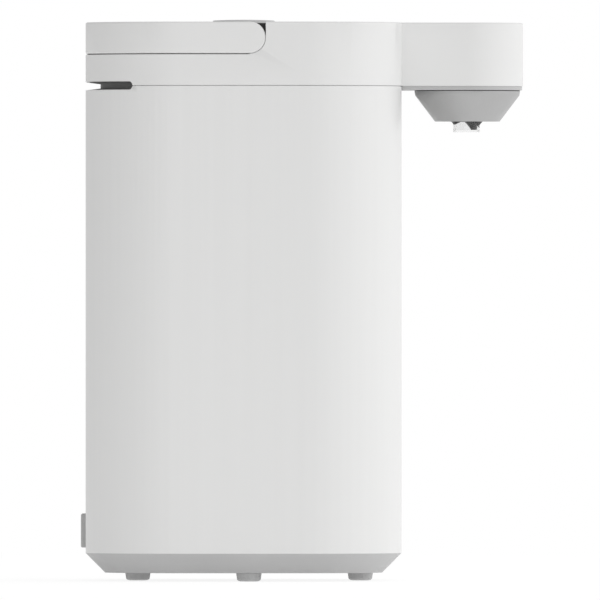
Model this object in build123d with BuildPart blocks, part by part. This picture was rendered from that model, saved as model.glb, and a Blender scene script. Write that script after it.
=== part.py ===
"""Counter-top hot water dispenser: a rounded-square body on a bevelled base, a top with a spout head,
a folded carrying bail, a hinged lid with a push button, and the tank, heater and pump inside.

Millimetres. The origin is on the body's upright axis at the floor, +X runs forward to the spout and
+Z runs up.
"""

from build123d import *
import math
import os

# Outside of the body
body_side = 195.0
body_corner = 58.0
foot_drop = 5.2
base_height = 12.1
base_inset = 12.0
shell_height = 288.3
seam_groove = 0.4
seam_groove_depth = 1.2
top_height = 39.1

# Walls and the clearances between pieces
wall = 2.4
roof = 3.0
liner_wall = 1.0
slip = 0.3
pin_slip = 0.05
screw_slip = 0.1
overrun = 1.0
root = 1.0

# Spout head, its cover plate and the nozzle under it
head_reach = 40.8
head_half = 34.5
cover_drop = 2.5
cover_inset = 0.6
cone_step = 1.8
cone_lean = 0.5
cone_band = 2.7
cone_end_radius = 20.0
cone_height = 18.8
cone_shadow_gap = 0.5
cone_ledge = 7.7
tip_setback = 0.6
tip_radius = 8.2
tip_flare = 2.1
tip_height = 6.5
tip_wall = 1.3
tip_floor = 1.1
tip_neck = 1.7
tip_flare_height = 2.2
funnel_gap = 0.4
funnel_radius = 3.8
funnel_end_radius = 1.9
funnel_end_bore = 1.1
funnel_socket_wall = 1.2
funnel_socket_depth = 6.0
funnel_socket_lift = 2.0
cone_wall = 2.0
cone_clip = 1.6
cone_clip_height = 1.2

# Carrying bail and the recess it folds into
bail_thickness = 8.9
bail_radius = 9.8
bail_edge = 1.2
stop_gap = 0.1
pivot_x = 3.9
pivot_pin_radius = 4.0
pivot_pin_bite = 5.7
pivot_boss_wall = 1.8
pivot_boss_length = 4.0
plate_reach = 8.0
plate_thickness = 1.2
plate_rise = 2.2
rim_round = 1.0
seat_gap = 0.5

# Lid, its well and its hinge
hinge_offset = 4.0
lid_gap = 0.8
lid_bevel = 1.0
lid_drop = 3.0
lid_plate = 4.5
lid_skin = 2.0
lid_rim = 2.4
lid_ledge = 3.0
plug_gap = 3.5
plug_depth = 28.0
plug_wall = 2.2
inner_plate_gap = 2.5
inner_plate_drop = 4.3
inner_plate_wall = 0.8
gasket_height = 2.2
gasket_width = 5.5
gasket_inset = 0.2
gasket_overhang = 0.2
hinge_wall_gap = 0.2
hinge_radius = 4.2
hinge_half = 28.0
hinge_pin_radius = 2.0
hinge_block = 7.5
hinge_room = 0.5
hinge_root_length = 16.0
hinge_block_setback = 1.3
hinge_block_length = 8.0
neck_lap = 3.0

# Push button, its spring and the latch bolt
button_radius = 19.15
button_gap = 2.0
button_rim = 1.8
button_crown = 1.3
button_edge = 0.5
stem_radius = 5.0
collar_radius = 7.4
collar_height = 1.5
spring_wire = 1.2
spring_turns = 5
spring_length = 8.6
spring_gap = 0.1
bolt_width = 16.0
bolt_height = 4.0
nose_reach = 1.6
bolt_tail_x = -14.0
bolt_window = 11.0
bolt_window_front = 7.6
wedge_lead = 0.8
wedge_tip = 0.6
wedge_gap = 0.2
nose_bevel = 1.5
guide_setback = 14.5
guide_length = 8.0
bolt_low = 19.2
keyway_depth = 3.4
tower_length = 20.0
tower_width = 24.0
hub_height = 2.0
hub_wall = 3.5
lid_screw_edge = 11.5
lid_screw_radius = 1.5
lid_screw_head = 3.4
lid_screw_head_height = 1.8
lid_screw_length = 10.0
lid_boss_radius = 4.0
plug_shelf = 10.5
valve_edge = 25.5
valve_radius = 5.0
valve_bore = 3.4
valve_flange = 8.5
valve_flange_height = 1.5
valve_height = 12.0
plug_vent_radius = 4.0
plate_edge_round = 2.5

# Steam slot round the rear
slot_mouth = 5.4
slot_throat = 3.2
slot_mid_above_seam = -0.1
slot_wrap = 26.8
slot_skin = 1.5
vent_half_height = 5.0
chimney_half = 15.0
chimney_depth = 6.0
chimney_cap = 2.3
duct_half = 11.0
duct_height = 8.0
duct_above_neck = 9.0
duct_wall = 1.2
slit_width = 1.6
slit_height = 2.0
slit_count = 7
slit_pitch = 3.6
vent_lap = 4.7

# Tank
riser_tank_gap = 1.0
hose_gap = 1.4
liner_corner = 10.0
shoulder_height = 18.0
neck_height = 4.7
flange_lip = 3.1
fill_line_drop = 12.0
fill_line_height = 1.2
fill_line_depth = 0.5

# Heating
heater_x = -16.0
heater_radius = 38.0
heater_height = 5.0
element_radius = 27.0
element_tube = 3.2
element_arc = 300.0
thermostat_radius = 8.0
thermostat_height = 8.0
element_bite = 2.0
sensor_radius = 3.0
sensor_x = 6.0
sensor_y = 46.0
sensor_flange = 6.0
sensor_flange_height = 2.0
sensor_length = 12.0
band_height = 40.0
band_lift = 14.0
band_wall = 1.8
band_opening = 26.0
band_ear = 2.0
band_ear_length = 7.0

# Pump and pipes
pump_x = 40.0
outlet_bore = 4.0
outlet_drop = 7.0
motor_radius = 17.0
motor_height = 25.0
shaft_radius = 1.6
volute_radius = 22.0
volute_height = 12.0
volute_wall = 2.0
pump_cover_height = 2.0
impeller_gap = 2.5
impeller_plate = 1.5
blade_height = 6.0
blade_count = 6
blade_wall = 1.4
hub_radius = 4.0
impeller_lift = 0.6
shaft_reach = 12.0
blade_bow = 3.0
terminal_length = 5.0
terminal_width = 4.0
terminal_thickness = 0.8
terminal_pitch = 10.0
terminal_root = 2.0
lug_reach = 2.5
lug_radius = 4.0
pump_screw_radius = 1.5
pump_screw_head = 2.8
pump_screw_head_height = 1.8
pump_screw_length = 8.0
stub_bore = 3.0
stub_length = 5.0
hose_wall = 2.0
pipe_radius = 4.0
pipe_bore = 2.6
riser_window_gap = 2.1
pipe_drop = 22.7
pipe_bend = 12.0
coupler_rise = 9.0
coupler_length = 14.0
coupler_wall = 1.6

# Frame, fasteners and feet
deck_plate = 2.8
deck_margin = 22.5
deck_corner = 30.0
deck_hole = 56.0
post_margin = 35.5
post_radius = 5.5
boss_height = 8.4
base_screw_radius = 2.0
base_screw_head = 4.0
screw_head_height = 3.0
base_screw_length = 26.0
foot_radius = 8.15
foot_tread = 4.5
foot_taper = 0.8
foot_tread_height = 1.5
foot_circle_x = 3.3
foot_margin = 28.7
foot_stud_radius = 3.0
foot_stud_length = 3.6
cross_slot_length = 5.0
cross_slot_width = 1.0
cross_slot_depth = 1.4
air_slot_x = -8.0
air_slot_count = 7
air_slot_pitch = 7.0
air_slot_length = 44.0
air_slot_width = 3.0
lip_height = 4.0
lip_wall = 1.6

# Power inlet, boards, panel and level window
bezel_width = 40.0
bezel_height = 20.9
bezel_proud = 3.1
bezel_corner = 2.4
bezel_edge = 1.0
bezel_rise = 13.55
socket_width = 28.0
socket_height = 13.0
socket_depth = 13.0
socket_wall = 2.0
blade_pitch = 14.0
inlet_pin_radius = 2.0
inlet_pin_length = 10.0
board_length = 48.0
board_width = 70.0
board_thickness = 1.6
board_gap = 2.5
board_screw_inset_x = 4.0
board_screw_inset_y = 12.0
board_standoff = 5.4
board_screw_radius = 1.5
board_boss_radius = 3.0
board_screw_head = 2.8
board_screw_head_height = 1.8
board_screw_length = 6.0
transformer_size = (20.0, 18.0, 16.0)
relay_size = (18.0, 14.0, 14.0)
connector_size = (8.0, 22.0, 9.0)
capacitor_radius = 5.5
capacitor_height = 15.0
capacitor_edge = 1.0
panel_margin = 2.5
panel_edge = 8.5
panel_thickness = 1.8
panel_corner = 8.0
panel_ledge = 3.0
panel_slip = 0.15
display_length = 46.0
display_setback = 8.3
display_thickness = 1.6
digits_length = 30.0
digits_width = 14.0
digits_gap = 0.2
window_width = 16.0
window_foot = 72.7
window_head = 65.6
window_slip = 0.15

# Levels worked out from the sizes above, from the floor up and from the rim down
base_low_z = foot_drop
shell_low_z = base_low_z + base_height
seam_z = shell_low_z + shell_height
rim_z = seam_z + top_height
deck_z = rim_z - lid_drop
floor_z = base_low_z + wall
boss_top = floor_z + boss_height
pivot_z = rim_z - bail_radius
bail_seat_z = pivot_z - bail_radius - seat_gap
ledge_z = deck_z - lid_plate - slip
lid_low_z = deck_z - lid_plate
lid_under_z = deck_z - lid_skin
hinge_z = deck_z - hinge_radius
liner_top_z = lid_low_z - plug_depth - gasket_height - slip
plug_floor_z = lid_low_z - plug_depth
plate_low_z = plug_floor_z - inner_plate_drop
neck_z = liner_top_z - neck_height
liner_shoulder_z = neck_z - shoulder_height
fill_line_z = liner_shoulder_z - fill_line_drop
cover_low_z = seam_z - cover_drop
cone_top_z = cover_low_z - cone_shadow_gap
cone_low_z = cone_top_z - cone_height
tip_low_z = cone_low_z - tip_height
slot_z = seam_z + slot_mid_above_seam
motor_top_z = floor_z + motor_height
volute_low_z = motor_top_z
volute_top_z = volute_low_z + volute_height
pump_top_z = volute_top_z + pump_cover_height
liner_floor_z = pump_top_z + stub_length + hose_gap + outlet_drop
deck_frame_low_z = liner_floor_z - deck_plate
band_low_z = liner_floor_z + band_lift
board_z = floor_z + board_standoff
bolt_z = hinge_z - bolt_low
duct_z = liner_top_z + duct_above_neck
pipe_z = volute_low_z + volute_height / 2
pipe_top_z = rim_z - pipe_drop
coupler_z = liner_shoulder_z + coupler_rise
chimney_low_z = slot_z - vent_half_height
chimney_height = duct_z + duct_height / 2 + chimney_cap - chimney_low_z
hub_low_z = lid_under_z - hub_height
collar_top_z = hub_low_z - slip
collar_low_z = collar_top_z - collar_height
seat_z = collar_low_z - spring_length
button_low_z = deck_z + button_gap
bolt_top_z = bolt_z + bolt_height
wedge_top_z = bolt_top_z + wedge_lead
funnel_top_z = cone_low_z + cone_wall + 2 * slip + funnel_socket_depth + funnel_socket_lift
pipe_end_z = funnel_top_z - funnel_socket_depth
bezel_centre_z = shell_low_z + bezel_rise
window_height = shell_height - window_foot - window_head
window_centre_z = shell_low_z + window_foot + window_height / 2

# Reaches worked out from the body's side inwards
half_side = body_side / 2
recess_depth = bail_thickness + slip
stop_x = pivot_x + bail_radius + stop_gap
pivot_boss_radius = pivot_pin_radius + pivot_boss_wall
plate_back = half_side - recess_depth - plate_thickness
hinge_x = -(half_side - recess_depth - wall - hinge_wall_gap - hinge_room - hinge_radius)
hinge_block_x = hinge_x - hinge_block_setback
lid_radius = -hinge_x - hinge_offset
well_radius = lid_radius - lid_ledge
plug_radius = well_radius - plug_gap
plug_flange_inner = plug_radius - plug_shelf
gasket_outer = plug_radius - gasket_inset
gasket_inner = gasket_outer - gasket_width
neck_radius = gasket_inner + gasket_overhang
neck_outer = well_radius + wall
flange_radius = neck_outer + flange_lip
inner_plate_radius = neck_radius - liner_wall - inner_plate_gap
lid_screw_circle = inner_plate_radius - lid_screw_edge
valve_x = -(inner_plate_radius - valve_edge)
bolt_nose_x = well_radius + nose_reach
guide_x = plug_radius - guide_setback
slot_end_x = -half_side + slot_wrap
vent_end_x = slot_end_x + vent_lap
riser_x = half_side - wall - riser_window_gap - pipe_radius
liner_radius = riser_x - pipe_radius - riser_tank_gap
band_ear_reach = liner_radius + band_ear_length
coupler_radius = pipe_radius + coupler_wall
stub_radius = outlet_bore + liner_wall
hose_radius = stub_radius + hose_wall
impeller_radius = volute_radius - volute_wall - impeller_gap
lug_circle = volute_radius + lug_reach
deck_side = body_side - 2 * deck_margin
post_offset = half_side - post_margin
foot_circle_radius = half_side - foot_margin
board_centre_x = -half_side + socket_depth + socket_wall + board_gap + board_length / 2

# Reaches of the spout head, from the body's front outwards
head_centre_x = half_side + head_reach
cone_top_radius = head_half - cone_step
cone_band_radius = cone_top_radius - cone_lean
cone_spigot_radius = cone_top_radius - cone_ledge
tip_centre_x = head_centre_x - tip_setback
tip_inner = tip_radius - tip_wall
funnel_centre_x = tip_centre_x + tip_inner - funnel_gap - funnel_radius
funnel_bore = pipe_bore
funnel_socket_radius = pipe_radius + funnel_socket_wall
panel_start_x = half_side + panel_margin
panel_half = head_half - panel_edge
display_width = 2 * panel_half
display_centre_x = head_centre_x - display_setback
digits_height = roof - panel_thickness - digits_gap

os.makedirs("parts", exist_ok=True)


def save(part, name):
    """Labels a finished piece and writes its STEP file."""
    part.label = name
    export_step(part, f"parts/{name}.step")


def body_plan(z, inset):
    """The body's rounded-square outline at a height, drawn smaller by an inset."""
    with BuildSketch(Plane.XY.offset(z)) as plan:
        RectangleRounded(body_side - 2 * inset, body_side - 2 * inset, body_corner - inset)
    return plan.sketch


def top_plan(z, inset):
    """The body's outline with the spout head, drawn smaller by an inset."""
    with BuildSketch(Plane.XY.offset(z)) as plan:
        RectangleRounded(body_side - 2 * inset, body_side - 2 * inset, body_corner - inset)
        with Locations((head_centre_x / 2, 0)):
            Rectangle(head_centre_x, 2 * (head_half - inset))
        with Locations((head_centre_x, 0)):
            Circle(head_half - inset)
    return plan.sketch


def head_plan(z, start_x, inset):
    """The spout head's outline from a given start, drawn smaller by an inset."""
    length = head_centre_x - start_x
    with BuildSketch(Plane.XY.offset(z)) as plan:
        with Locations((start_x + length / 2, 0)):
            Rectangle(length, 2 * (head_half - inset))
        with Locations((head_centre_x, 0)):
            Circle(head_half - inset)
    return plan.sketch


def panel_plan(z, inset):
    """The touch panel's outline: round corners at the back and a half circle in front."""
    length = head_centre_x - panel_start_x - inset
    with BuildSketch(Plane.XY.offset(z)) as plan:
        with Locations((head_centre_x - length / 2, 0)):
            Rectangle(length, 2 * (panel_half - inset))
        fillet(plan.vertices().group_by(Axis.X)[0], panel_corner - inset)
        with Locations((head_centre_x, 0)):
            Circle(panel_half - inset)
    return plan.sketch


def post_plan(z, radius):
    """Four circles on the posts' corners."""
    with BuildSketch(Plane.XY.offset(z)) as plan:
        with GridLocations(2 * post_offset, 2 * post_offset, 2, 2):
            Circle(radius)
    return plan.sketch


def board_screw_plan(z, radius):
    """Four circles on the power board's screws."""
    with BuildSketch(Plane.XY.offset(z)) as plan:
        with Locations((board_centre_x, 0)):
            with GridLocations(
                board_length - 2 * board_screw_inset_x, board_width - 2 * board_screw_inset_y, 2, 2
            ):
                Circle(radius)
    return plan.sketch


def plate_plan(offset, slack):
    """A wear plate's outline on an upright plane, drawn larger all round by a slack."""
    start_x = pivot_x - plate_reach
    low_z = pivot_z - plate_reach
    length = stop_x - screw_slip - start_x
    height = deck_z + plate_rise - low_z
    with BuildSketch(Plane.XZ.offset(offset)) as plan:
        with Locations((start_x + length / 2, low_z + height / 2)):
            Rectangle(length + 2 * slack, height + 2 * slack)
    return plan.sketch


def disc(x, z, radius):
    """One circle at a height, centred on the body's middle plane."""
    with BuildSketch(Plane.XY.offset(z)) as plan:
        with Locations((x, 0)):
            Circle(radius)
    return plan.sketch


def spindle(x, z, radius):
    """One circle on the middle plane, to be extruded to both sides."""
    with BuildSketch(Plane.XZ) as plan:
        with Locations((x, z)):
            Circle(radius)
    return plan.sketch


# Cutter for the steam slot: a drafted channel swept round the rear, with rounded ends
slot_angle = math.degrees(math.acos((-slot_end_x - half_side + body_corner) / body_corner))
slot_arc_centre = half_side - body_corner
slot_start = (
    -slot_arc_centre - body_corner * math.cos(math.radians(slot_angle)),
    -slot_arc_centre - body_corner * math.sin(math.radians(slot_angle)),
)
slot_overrun = overrun
slot_growth = (slot_mouth - slot_throat) / 2 / recess_depth
slot_outer_half = slot_mouth / 2 + slot_growth * slot_overrun
slot_normal = Vector(
    -math.cos(math.radians(slot_angle)), -math.sin(math.radians(slot_angle)), 0
)

with BuildPart() as slot_cutter:
    with BuildLine(Plane.XY.offset(slot_z)) as slot_path:
        rear_start = (-half_side, -slot_arc_centre)
        rear_end = (-half_side, slot_arc_centre)
        near_mid_angle = math.radians(slot_angle / 2)
        near_mid = (
            -slot_arc_centre - body_corner * math.cos(near_mid_angle),
            -slot_arc_centre - body_corner * math.sin(near_mid_angle),
        )
        ThreePointArc(slot_start, near_mid, rear_start)
        Line(rear_start, rear_end)
        ThreePointArc(rear_end, (near_mid[0], -near_mid[1]), (slot_start[0], -slot_start[1]))
    slot_plane = Plane(
        origin=(slot_start[0], slot_start[1], slot_z),
        x_dir=slot_normal,
        z_dir=slot_path.line % 0,
    )
    with BuildSketch(slot_plane):
        with BuildLine():
            Polyline(
                (slot_overrun, -slot_outer_half),
                (slot_overrun, slot_outer_half),
                (-recess_depth, slot_throat / 2),
                (-recess_depth, -slot_throat / 2),
                close=True,
            )
        make_face()
    sweep(path=slot_path.line)
    for side in (1, -1):
        end_normal = Vector(slot_normal.X, side * slot_normal.Y, 0)
        mouth_point = Vector(slot_start[0], side * slot_start[1], slot_z) + end_normal * slot_overrun
        with BuildSketch(Plane(origin=mouth_point, z_dir=end_normal * -1)):
            Circle(slot_outer_half)
        with BuildSketch(
            Plane(
                origin=mouth_point - end_normal * (recess_depth + slot_overrun),
                z_dir=end_normal * -1,
            )
        ):
            Circle(slot_throat / 2)
        loft(ruled=True)

# Outer shell, a rounded-square tube with the slot, the inlet hole and the level window cut in
with BuildPart() as outer_shell:
    extrude(body_plan(shell_low_z, 0), amount=shell_height)
    extrude(body_plan(shell_low_z, wall), amount=shell_height, mode=Mode.SUBTRACT)
    with BuildSketch(Plane.YZ.offset(-half_side - overrun)):
        with Locations((0, bezel_centre_z)):
            Rectangle(
                socket_width + 2 * socket_wall + 2 * slip,
                socket_height + 2 * socket_wall + 2 * slip,
            )
    extrude(amount=wall + 2 * overrun, mode=Mode.SUBTRACT)
    with BuildSketch(Plane.YZ.offset(half_side - wall - overrun)):
        with Locations((0, window_centre_z)):
            SlotOverall(window_height, window_width, rotation=90)
    extrude(amount=wall + 2 * overrun, mode=Mode.SUBTRACT)
    add(slot_cutter.part, mode=Mode.SUBTRACT)
    # Shadow line under the top housing, cut in the outer half of the wall
    with BuildSketch(Plane.XY.offset(seam_z - seam_groove)):
        add(body_plan(0, -overrun))
        add(body_plan(0, seam_groove_depth), mode=Mode.SUBTRACT)
    extrude(amount=seam_groove, mode=Mode.SUBTRACT)
save(outer_shell.part, "outer_shell")

# Level window, a clear strip flush in the front wall with the riser behind it
with BuildPart() as level_window:
    with BuildSketch(Plane.YZ.offset(half_side - wall)):
        with Locations((0, window_centre_z)):
            SlotOverall(
                window_height - 2 * window_slip, window_width - 2 * window_slip, rotation=90
            )
    extrude(amount=wall)
save(level_window.part, "level_window")

# Base cover: a bevelled tray with a lip inside the shell, screw bosses and air slots
slant_wall = wall * math.hypot(base_inset, base_height) / base_height
floor_inset = base_inset * (1 - wall / base_height) + slant_wall
lip_inset = wall + slip
with BuildPart() as base_cover:
    loft([body_plan(base_low_z, base_inset), body_plan(shell_low_z, 0)], ruled=True)
    loft(
        [body_plan(floor_z, floor_inset), body_plan(shell_low_z, slant_wall)],
        ruled=True,
        mode=Mode.SUBTRACT,
    )
    extrude(body_plan(shell_low_z - root, lip_inset), amount=lip_height + root)
    extrude(
        body_plan(shell_low_z - root, lip_inset + lip_wall),
        amount=lip_height + root,
        mode=Mode.SUBTRACT,
    )
    extrude(post_plan(floor_z - root, post_radius), amount=boss_height + root)
    extrude(board_screw_plan(floor_z - root, board_boss_radius), amount=board_standoff + root)
    extrude(disc(pump_x, floor_z - root, motor_radius + slip + lip_wall), amount=lip_height + root)
    extrude(disc(pump_x, floor_z, motor_radius + slip), amount=lip_height, mode=Mode.SUBTRACT)
    extrude(
        post_plan(base_low_z, base_screw_radius + screw_slip), amount=boss_top, mode=Mode.SUBTRACT
    )
    extrude(
        post_plan(base_low_z, base_screw_head + slip),
        amount=screw_head_height + slip,
        mode=Mode.SUBTRACT,
    )
    extrude(
        board_screw_plan(floor_z, board_screw_radius + pin_slip), amount=boss_top, mode=Mode.SUBTRACT
    )
    with BuildSketch(Plane.XY.offset(base_low_z)):
        with Locations((foot_circle_x, 0)):
            with PolarLocations(foot_circle_radius, 4):
                Circle(foot_stud_radius + pin_slip)
        with Locations((air_slot_x, 0)):
            with GridLocations(air_slot_pitch, 1, air_slot_count, 1):
                SlotOverall(air_slot_length, air_slot_width, rotation=90)
    extrude(amount=wall, mode=Mode.SUBTRACT)
    with BuildSketch(Plane.YZ.offset(-half_side)):
        with Locations((0, bezel_centre_z)):
            Rectangle(
                socket_width + 2 * socket_wall + 2 * slip,
                socket_height + 2 * socket_wall + 2 * slip,
            )
    extrude(amount=lip_inset + lip_wall + overrun, mode=Mode.SUBTRACT)
save(base_cover.part, "base_cover")

# Rubber feet: a pad with a rounded tread and a stud in the base, four alike
with BuildPart() as foot:
    with BuildSketch(Plane.XZ):
        with BuildLine():
            tread = TangentArc(
                (foot_tread, 0), (foot_radius - foot_taper, foot_tread_height), tangent=(1, 0)
            )
            Polyline(
                tread @ 1,
                (foot_radius, foot_drop),
                (foot_stud_radius, foot_drop),
                (foot_stud_radius, foot_drop + foot_stud_length),
                (0, foot_drop + foot_stud_length),
                (0, 0),
                (foot_tread, 0),
            )
        make_face()
    revolve(axis=Axis.Z)
with BuildPart() as feet:
    with Locations((foot_circle_x, 0)):
        with PolarLocations(foot_circle_radius, 4):
            add(foot.part)
save(feet.part, "feet")

# Screws that hold the base to the frame's posts
with BuildPart() as base_screws:
    head_seat_z = base_low_z + slip
    extrude(post_plan(head_seat_z, base_screw_head), amount=screw_head_height)
    extrude(
        post_plan(head_seat_z + screw_head_height, base_screw_radius), amount=base_screw_length
    )
    with BuildSketch(Plane.XY.offset(head_seat_z)):
        with GridLocations(2 * post_offset, 2 * post_offset, 2, 2):
            Rectangle(cross_slot_length, cross_slot_width)
            Rectangle(cross_slot_width, cross_slot_length)
    extrude(amount=cross_slot_depth, mode=Mode.SUBTRACT)
save(base_screws.part, "base_screws")

# Space for the folded bail: a ring round the rear with a round seat and an upright stop wall
room_radius = stop_x - pivot_x
room_top_z = rim_z + overrun
with BuildPart() as bail_room:
    extrude(body_plan(bail_seat_z, -recess_depth), amount=room_top_z - bail_seat_z)
    extrude(
        body_plan(bail_seat_z, recess_depth), amount=room_top_z - bail_seat_z, mode=Mode.SUBTRACT
    )
    with BuildSketch(Plane.XZ):
        with Locations((pivot_x, pivot_z)):
            Circle(room_radius)
        with Locations((pivot_x - body_side / 2, (bail_seat_z + room_top_z) / 2)):
            Rectangle(body_side, room_top_z - bail_seat_z)
        with Locations((pivot_x, (pivot_z + room_top_z) / 2)):
            Rectangle(2 * room_radius, room_top_z - pivot_z)
    extrude(amount=body_side, both=True, mode=Mode.INTERSECT)

# Room in which the lid's hinge barrel and its root turn
hinge_clear = hinge_radius + hinge_room
hinge_clear_half = hinge_half + hinge_room
with BuildPart() as hinge_pocket:
    extrude(spindle(hinge_x, hinge_z, hinge_clear), amount=hinge_clear_half, both=True)
    with BuildSketch(Plane.XY.offset(ledge_z)):
        with Locations((hinge_x - hinge_clear + hinge_root_length / 2, 0)):
            Rectangle(hinge_root_length, 2 * hinge_clear_half)
    extrude(amount=rim_z - ledge_z)

# Top housing: the upper ring, the deck round the lid and the spout head, one moulding
with BuildPart() as top_housing:
    extrude(top_plan(seam_z, 0), amount=top_height)
    fillet(top_housing.edges().group_by(Axis.Z)[-1], rim_round)
    add(bail_room.part, mode=Mode.SUBTRACT)
    with BuildSketch(Plane.XY.offset(deck_z)):
        with Locations((stop_x - body_side / 2, 0)):
            Rectangle(body_side, body_side)
    extrude(amount=lid_drop + overrun, mode=Mode.SUBTRACT)
    # Hollow under the bail's seat, under the deck and in the head
    extrude(top_plan(seam_z, wall), amount=bail_seat_z - wall - seam_z, mode=Mode.SUBTRACT)
    extrude(
        body_plan(seam_z, recess_depth + wall), amount=deck_z - wall - seam_z, mode=Mode.SUBTRACT
    )
    with BuildSketch(Plane.XY.offset(seam_z)):
        add(top_plan(0, wall))
        with Locations((stop_x + wall - body_side, 0)):
            Rectangle(2 * body_side, 2 * body_side, mode=Mode.SUBTRACT)
    extrude(amount=rim_z - roof - seam_z, mode=Mode.SUBTRACT)
    extrude(disc(0, ledge_z, lid_radius + lid_gap), amount=rim_z - ledge_z, mode=Mode.SUBTRACT)
    # Bevel round the lid's hole, which the lid's rear edge swings past
    extrude(
        disc(0, deck_z - lid_bevel, lid_radius + lid_gap),
        amount=lid_bevel + slip,
        taper=-45,
        mode=Mode.SUBTRACT,
    )
    # Bosses for the bail's pivot pins, and blocks for the lid's hinge pin
    for side in (1, -1):
        with BuildSketch(Plane.XZ.offset(side * (half_side - recess_depth))):
            with Locations((pivot_x, pivot_z)):
                Circle(pivot_boss_radius)
        extrude(amount=-side * (wall + pivot_boss_length))
        with BuildSketch(Plane.XY.offset(hinge_z - hinge_radius)):
            with Locations(
                (hinge_block_x, side * (hinge_clear_half + hinge_block / 2)),
            ):
                Rectangle(hinge_block_length, hinge_block)
        extrude(amount=hinge_radius * 2 - wall / 2)
    # Rebates for the wear plates behind the bail's ends
    for side in (1, -1):
        extrude(
            plate_plan(side * (plate_back - screw_slip), screw_slip),
            amount=side * (plate_thickness + screw_slip),
            mode=Mode.SUBTRACT,
        )
    extrude(
        spindle(pivot_x, pivot_z, pivot_pin_radius + pin_slip),
        amount=half_side,
        both=True,
        mode=Mode.SUBTRACT,
    )
    add(hinge_pocket.part, mode=Mode.SUBTRACT)
    extrude(
        spindle(hinge_x, hinge_z, hinge_pin_radius + pin_slip),
        amount=hinge_clear_half + hinge_block,
        both=True,
        mode=Mode.SUBTRACT,
    )
    # Seat for the touch panel, with a ledge round it
    extrude(panel_plan(rim_z - panel_thickness, 0), amount=panel_thickness + overrun, mode=Mode.SUBTRACT)
    extrude(panel_plan(rim_z - roof, panel_ledge), amount=roof, mode=Mode.SUBTRACT)
    add(slot_cutter.part, mode=Mode.SUBTRACT)
save(top_housing.part, "top_housing")

# Carrying bail, a flat-sided loop with round ends on its pivots
with BuildPart() as bail:
    bail_low_z = pivot_z - bail_radius
    extrude(body_plan(bail_low_z, 0), amount=2 * bail_radius)
    extrude(body_plan(bail_low_z, bail_thickness), amount=2 * bail_radius, mode=Mode.SUBTRACT)
    with BuildSketch(Plane.XZ):
        with Locations((pivot_x, pivot_z)):
            Circle(bail_radius)
        with Locations((pivot_x - body_side / 2, pivot_z)):
            Rectangle(body_side, 2 * bail_radius)
    extrude(amount=body_side, both=True, mode=Mode.INTERSECT)
    fillet(bail.edges().group_by(Axis.Z)[-1] + bail.edges().group_by(Axis.Z)[0], bail_edge)
    for side in (1, -1):
        with BuildSketch(Plane.XZ.offset(side * (half_side - bail_thickness))):
            with Locations((pivot_x, pivot_z)):
                Circle(pivot_pin_radius + pin_slip)
        extrude(amount=side * (pivot_pin_bite + slip), mode=Mode.SUBTRACT)
save(bail.part, "handle")

# Wear plates that the bail's ends turn against, let into the housing round the pins
with BuildPart() as pivot_plates:
    for side in (1, -1):
        extrude(plate_plan(side * plate_back, 0), amount=side * plate_thickness)
    extrude(
        spindle(pivot_x, pivot_z, pivot_pin_radius + pin_slip),
        amount=half_side,
        both=True,
        mode=Mode.SUBTRACT,
    )
save(pivot_plates.part, "pivot_plates")

# Pivot pins of the bail, held in the housing's bosses
with BuildPart() as pivot_pins:
    for side in (1, -1):
        with BuildSketch(Plane.XZ.offset(side * (half_side - bail_thickness + pivot_pin_bite))):
            with Locations((pivot_x, pivot_z)):
                Circle(pivot_pin_radius)
        extrude(
            amount=-side * (pivot_pin_bite + recess_depth - bail_thickness + wall + pivot_boss_length)
        )
save(pivot_pins.part, "handle_pivots")

# Fill neck: the collar round the lid's well, from the tank's flange up to the deck
neck_rim = lid_radius + lid_gap
with BuildPart() as fill_neck:
    with BuildSketch(Plane.XZ):
        with BuildLine():
            Polyline(
                (well_radius, liner_top_z),
                (flange_radius, liner_top_z),
                (flange_radius, liner_top_z + wall),
                (neck_outer, liner_top_z + wall),
                (neck_outer, ledge_z - wall),
                (neck_rim + neck_lap, ledge_z - wall),
                (neck_rim + neck_lap, deck_z - wall),
                (neck_rim, deck_z - wall),
                (neck_rim, ledge_z),
                (well_radius, ledge_z),
                close=True,
            )
        make_face()
    revolve(axis=Axis.Z)
    add(hinge_pocket.part, mode=Mode.SUBTRACT)
    # Keyway for the latch bolt's nose in a boss, open upwards so that the lid can swing out
    keyway_width = bolt_width + 4 * slip
    with BuildSketch(Plane.XY.offset(bolt_z - slip - lip_wall)):
        with Locations((well_radius + (keyway_depth + lip_wall) / 2, 0)):
            Rectangle(keyway_depth + lip_wall, keyway_width + 2 * lip_wall)
    extrude(amount=ledge_z - wall - bolt_z + slip + lip_wall)
    with BuildSketch(Plane.XY.offset(bolt_z - slip)):
        with Locations((well_radius, 0)):
            Rectangle(2 * keyway_depth, keyway_width)
    extrude(amount=deck_z - bolt_z, mode=Mode.SUBTRACT)
    # Hole for the steam, where the duct meets the collar
    with BuildSketch(Plane.YZ.offset(-well_radius - wall - overrun)):
        with Locations((0, duct_z)):
            Rectangle(2 * (duct_half - duct_wall), duct_height - 2 * duct_wall)
    extrude(amount=2 * (wall + overrun), mode=Mode.SUBTRACT)
save(fill_neck.part, "fill_neck")

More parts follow.
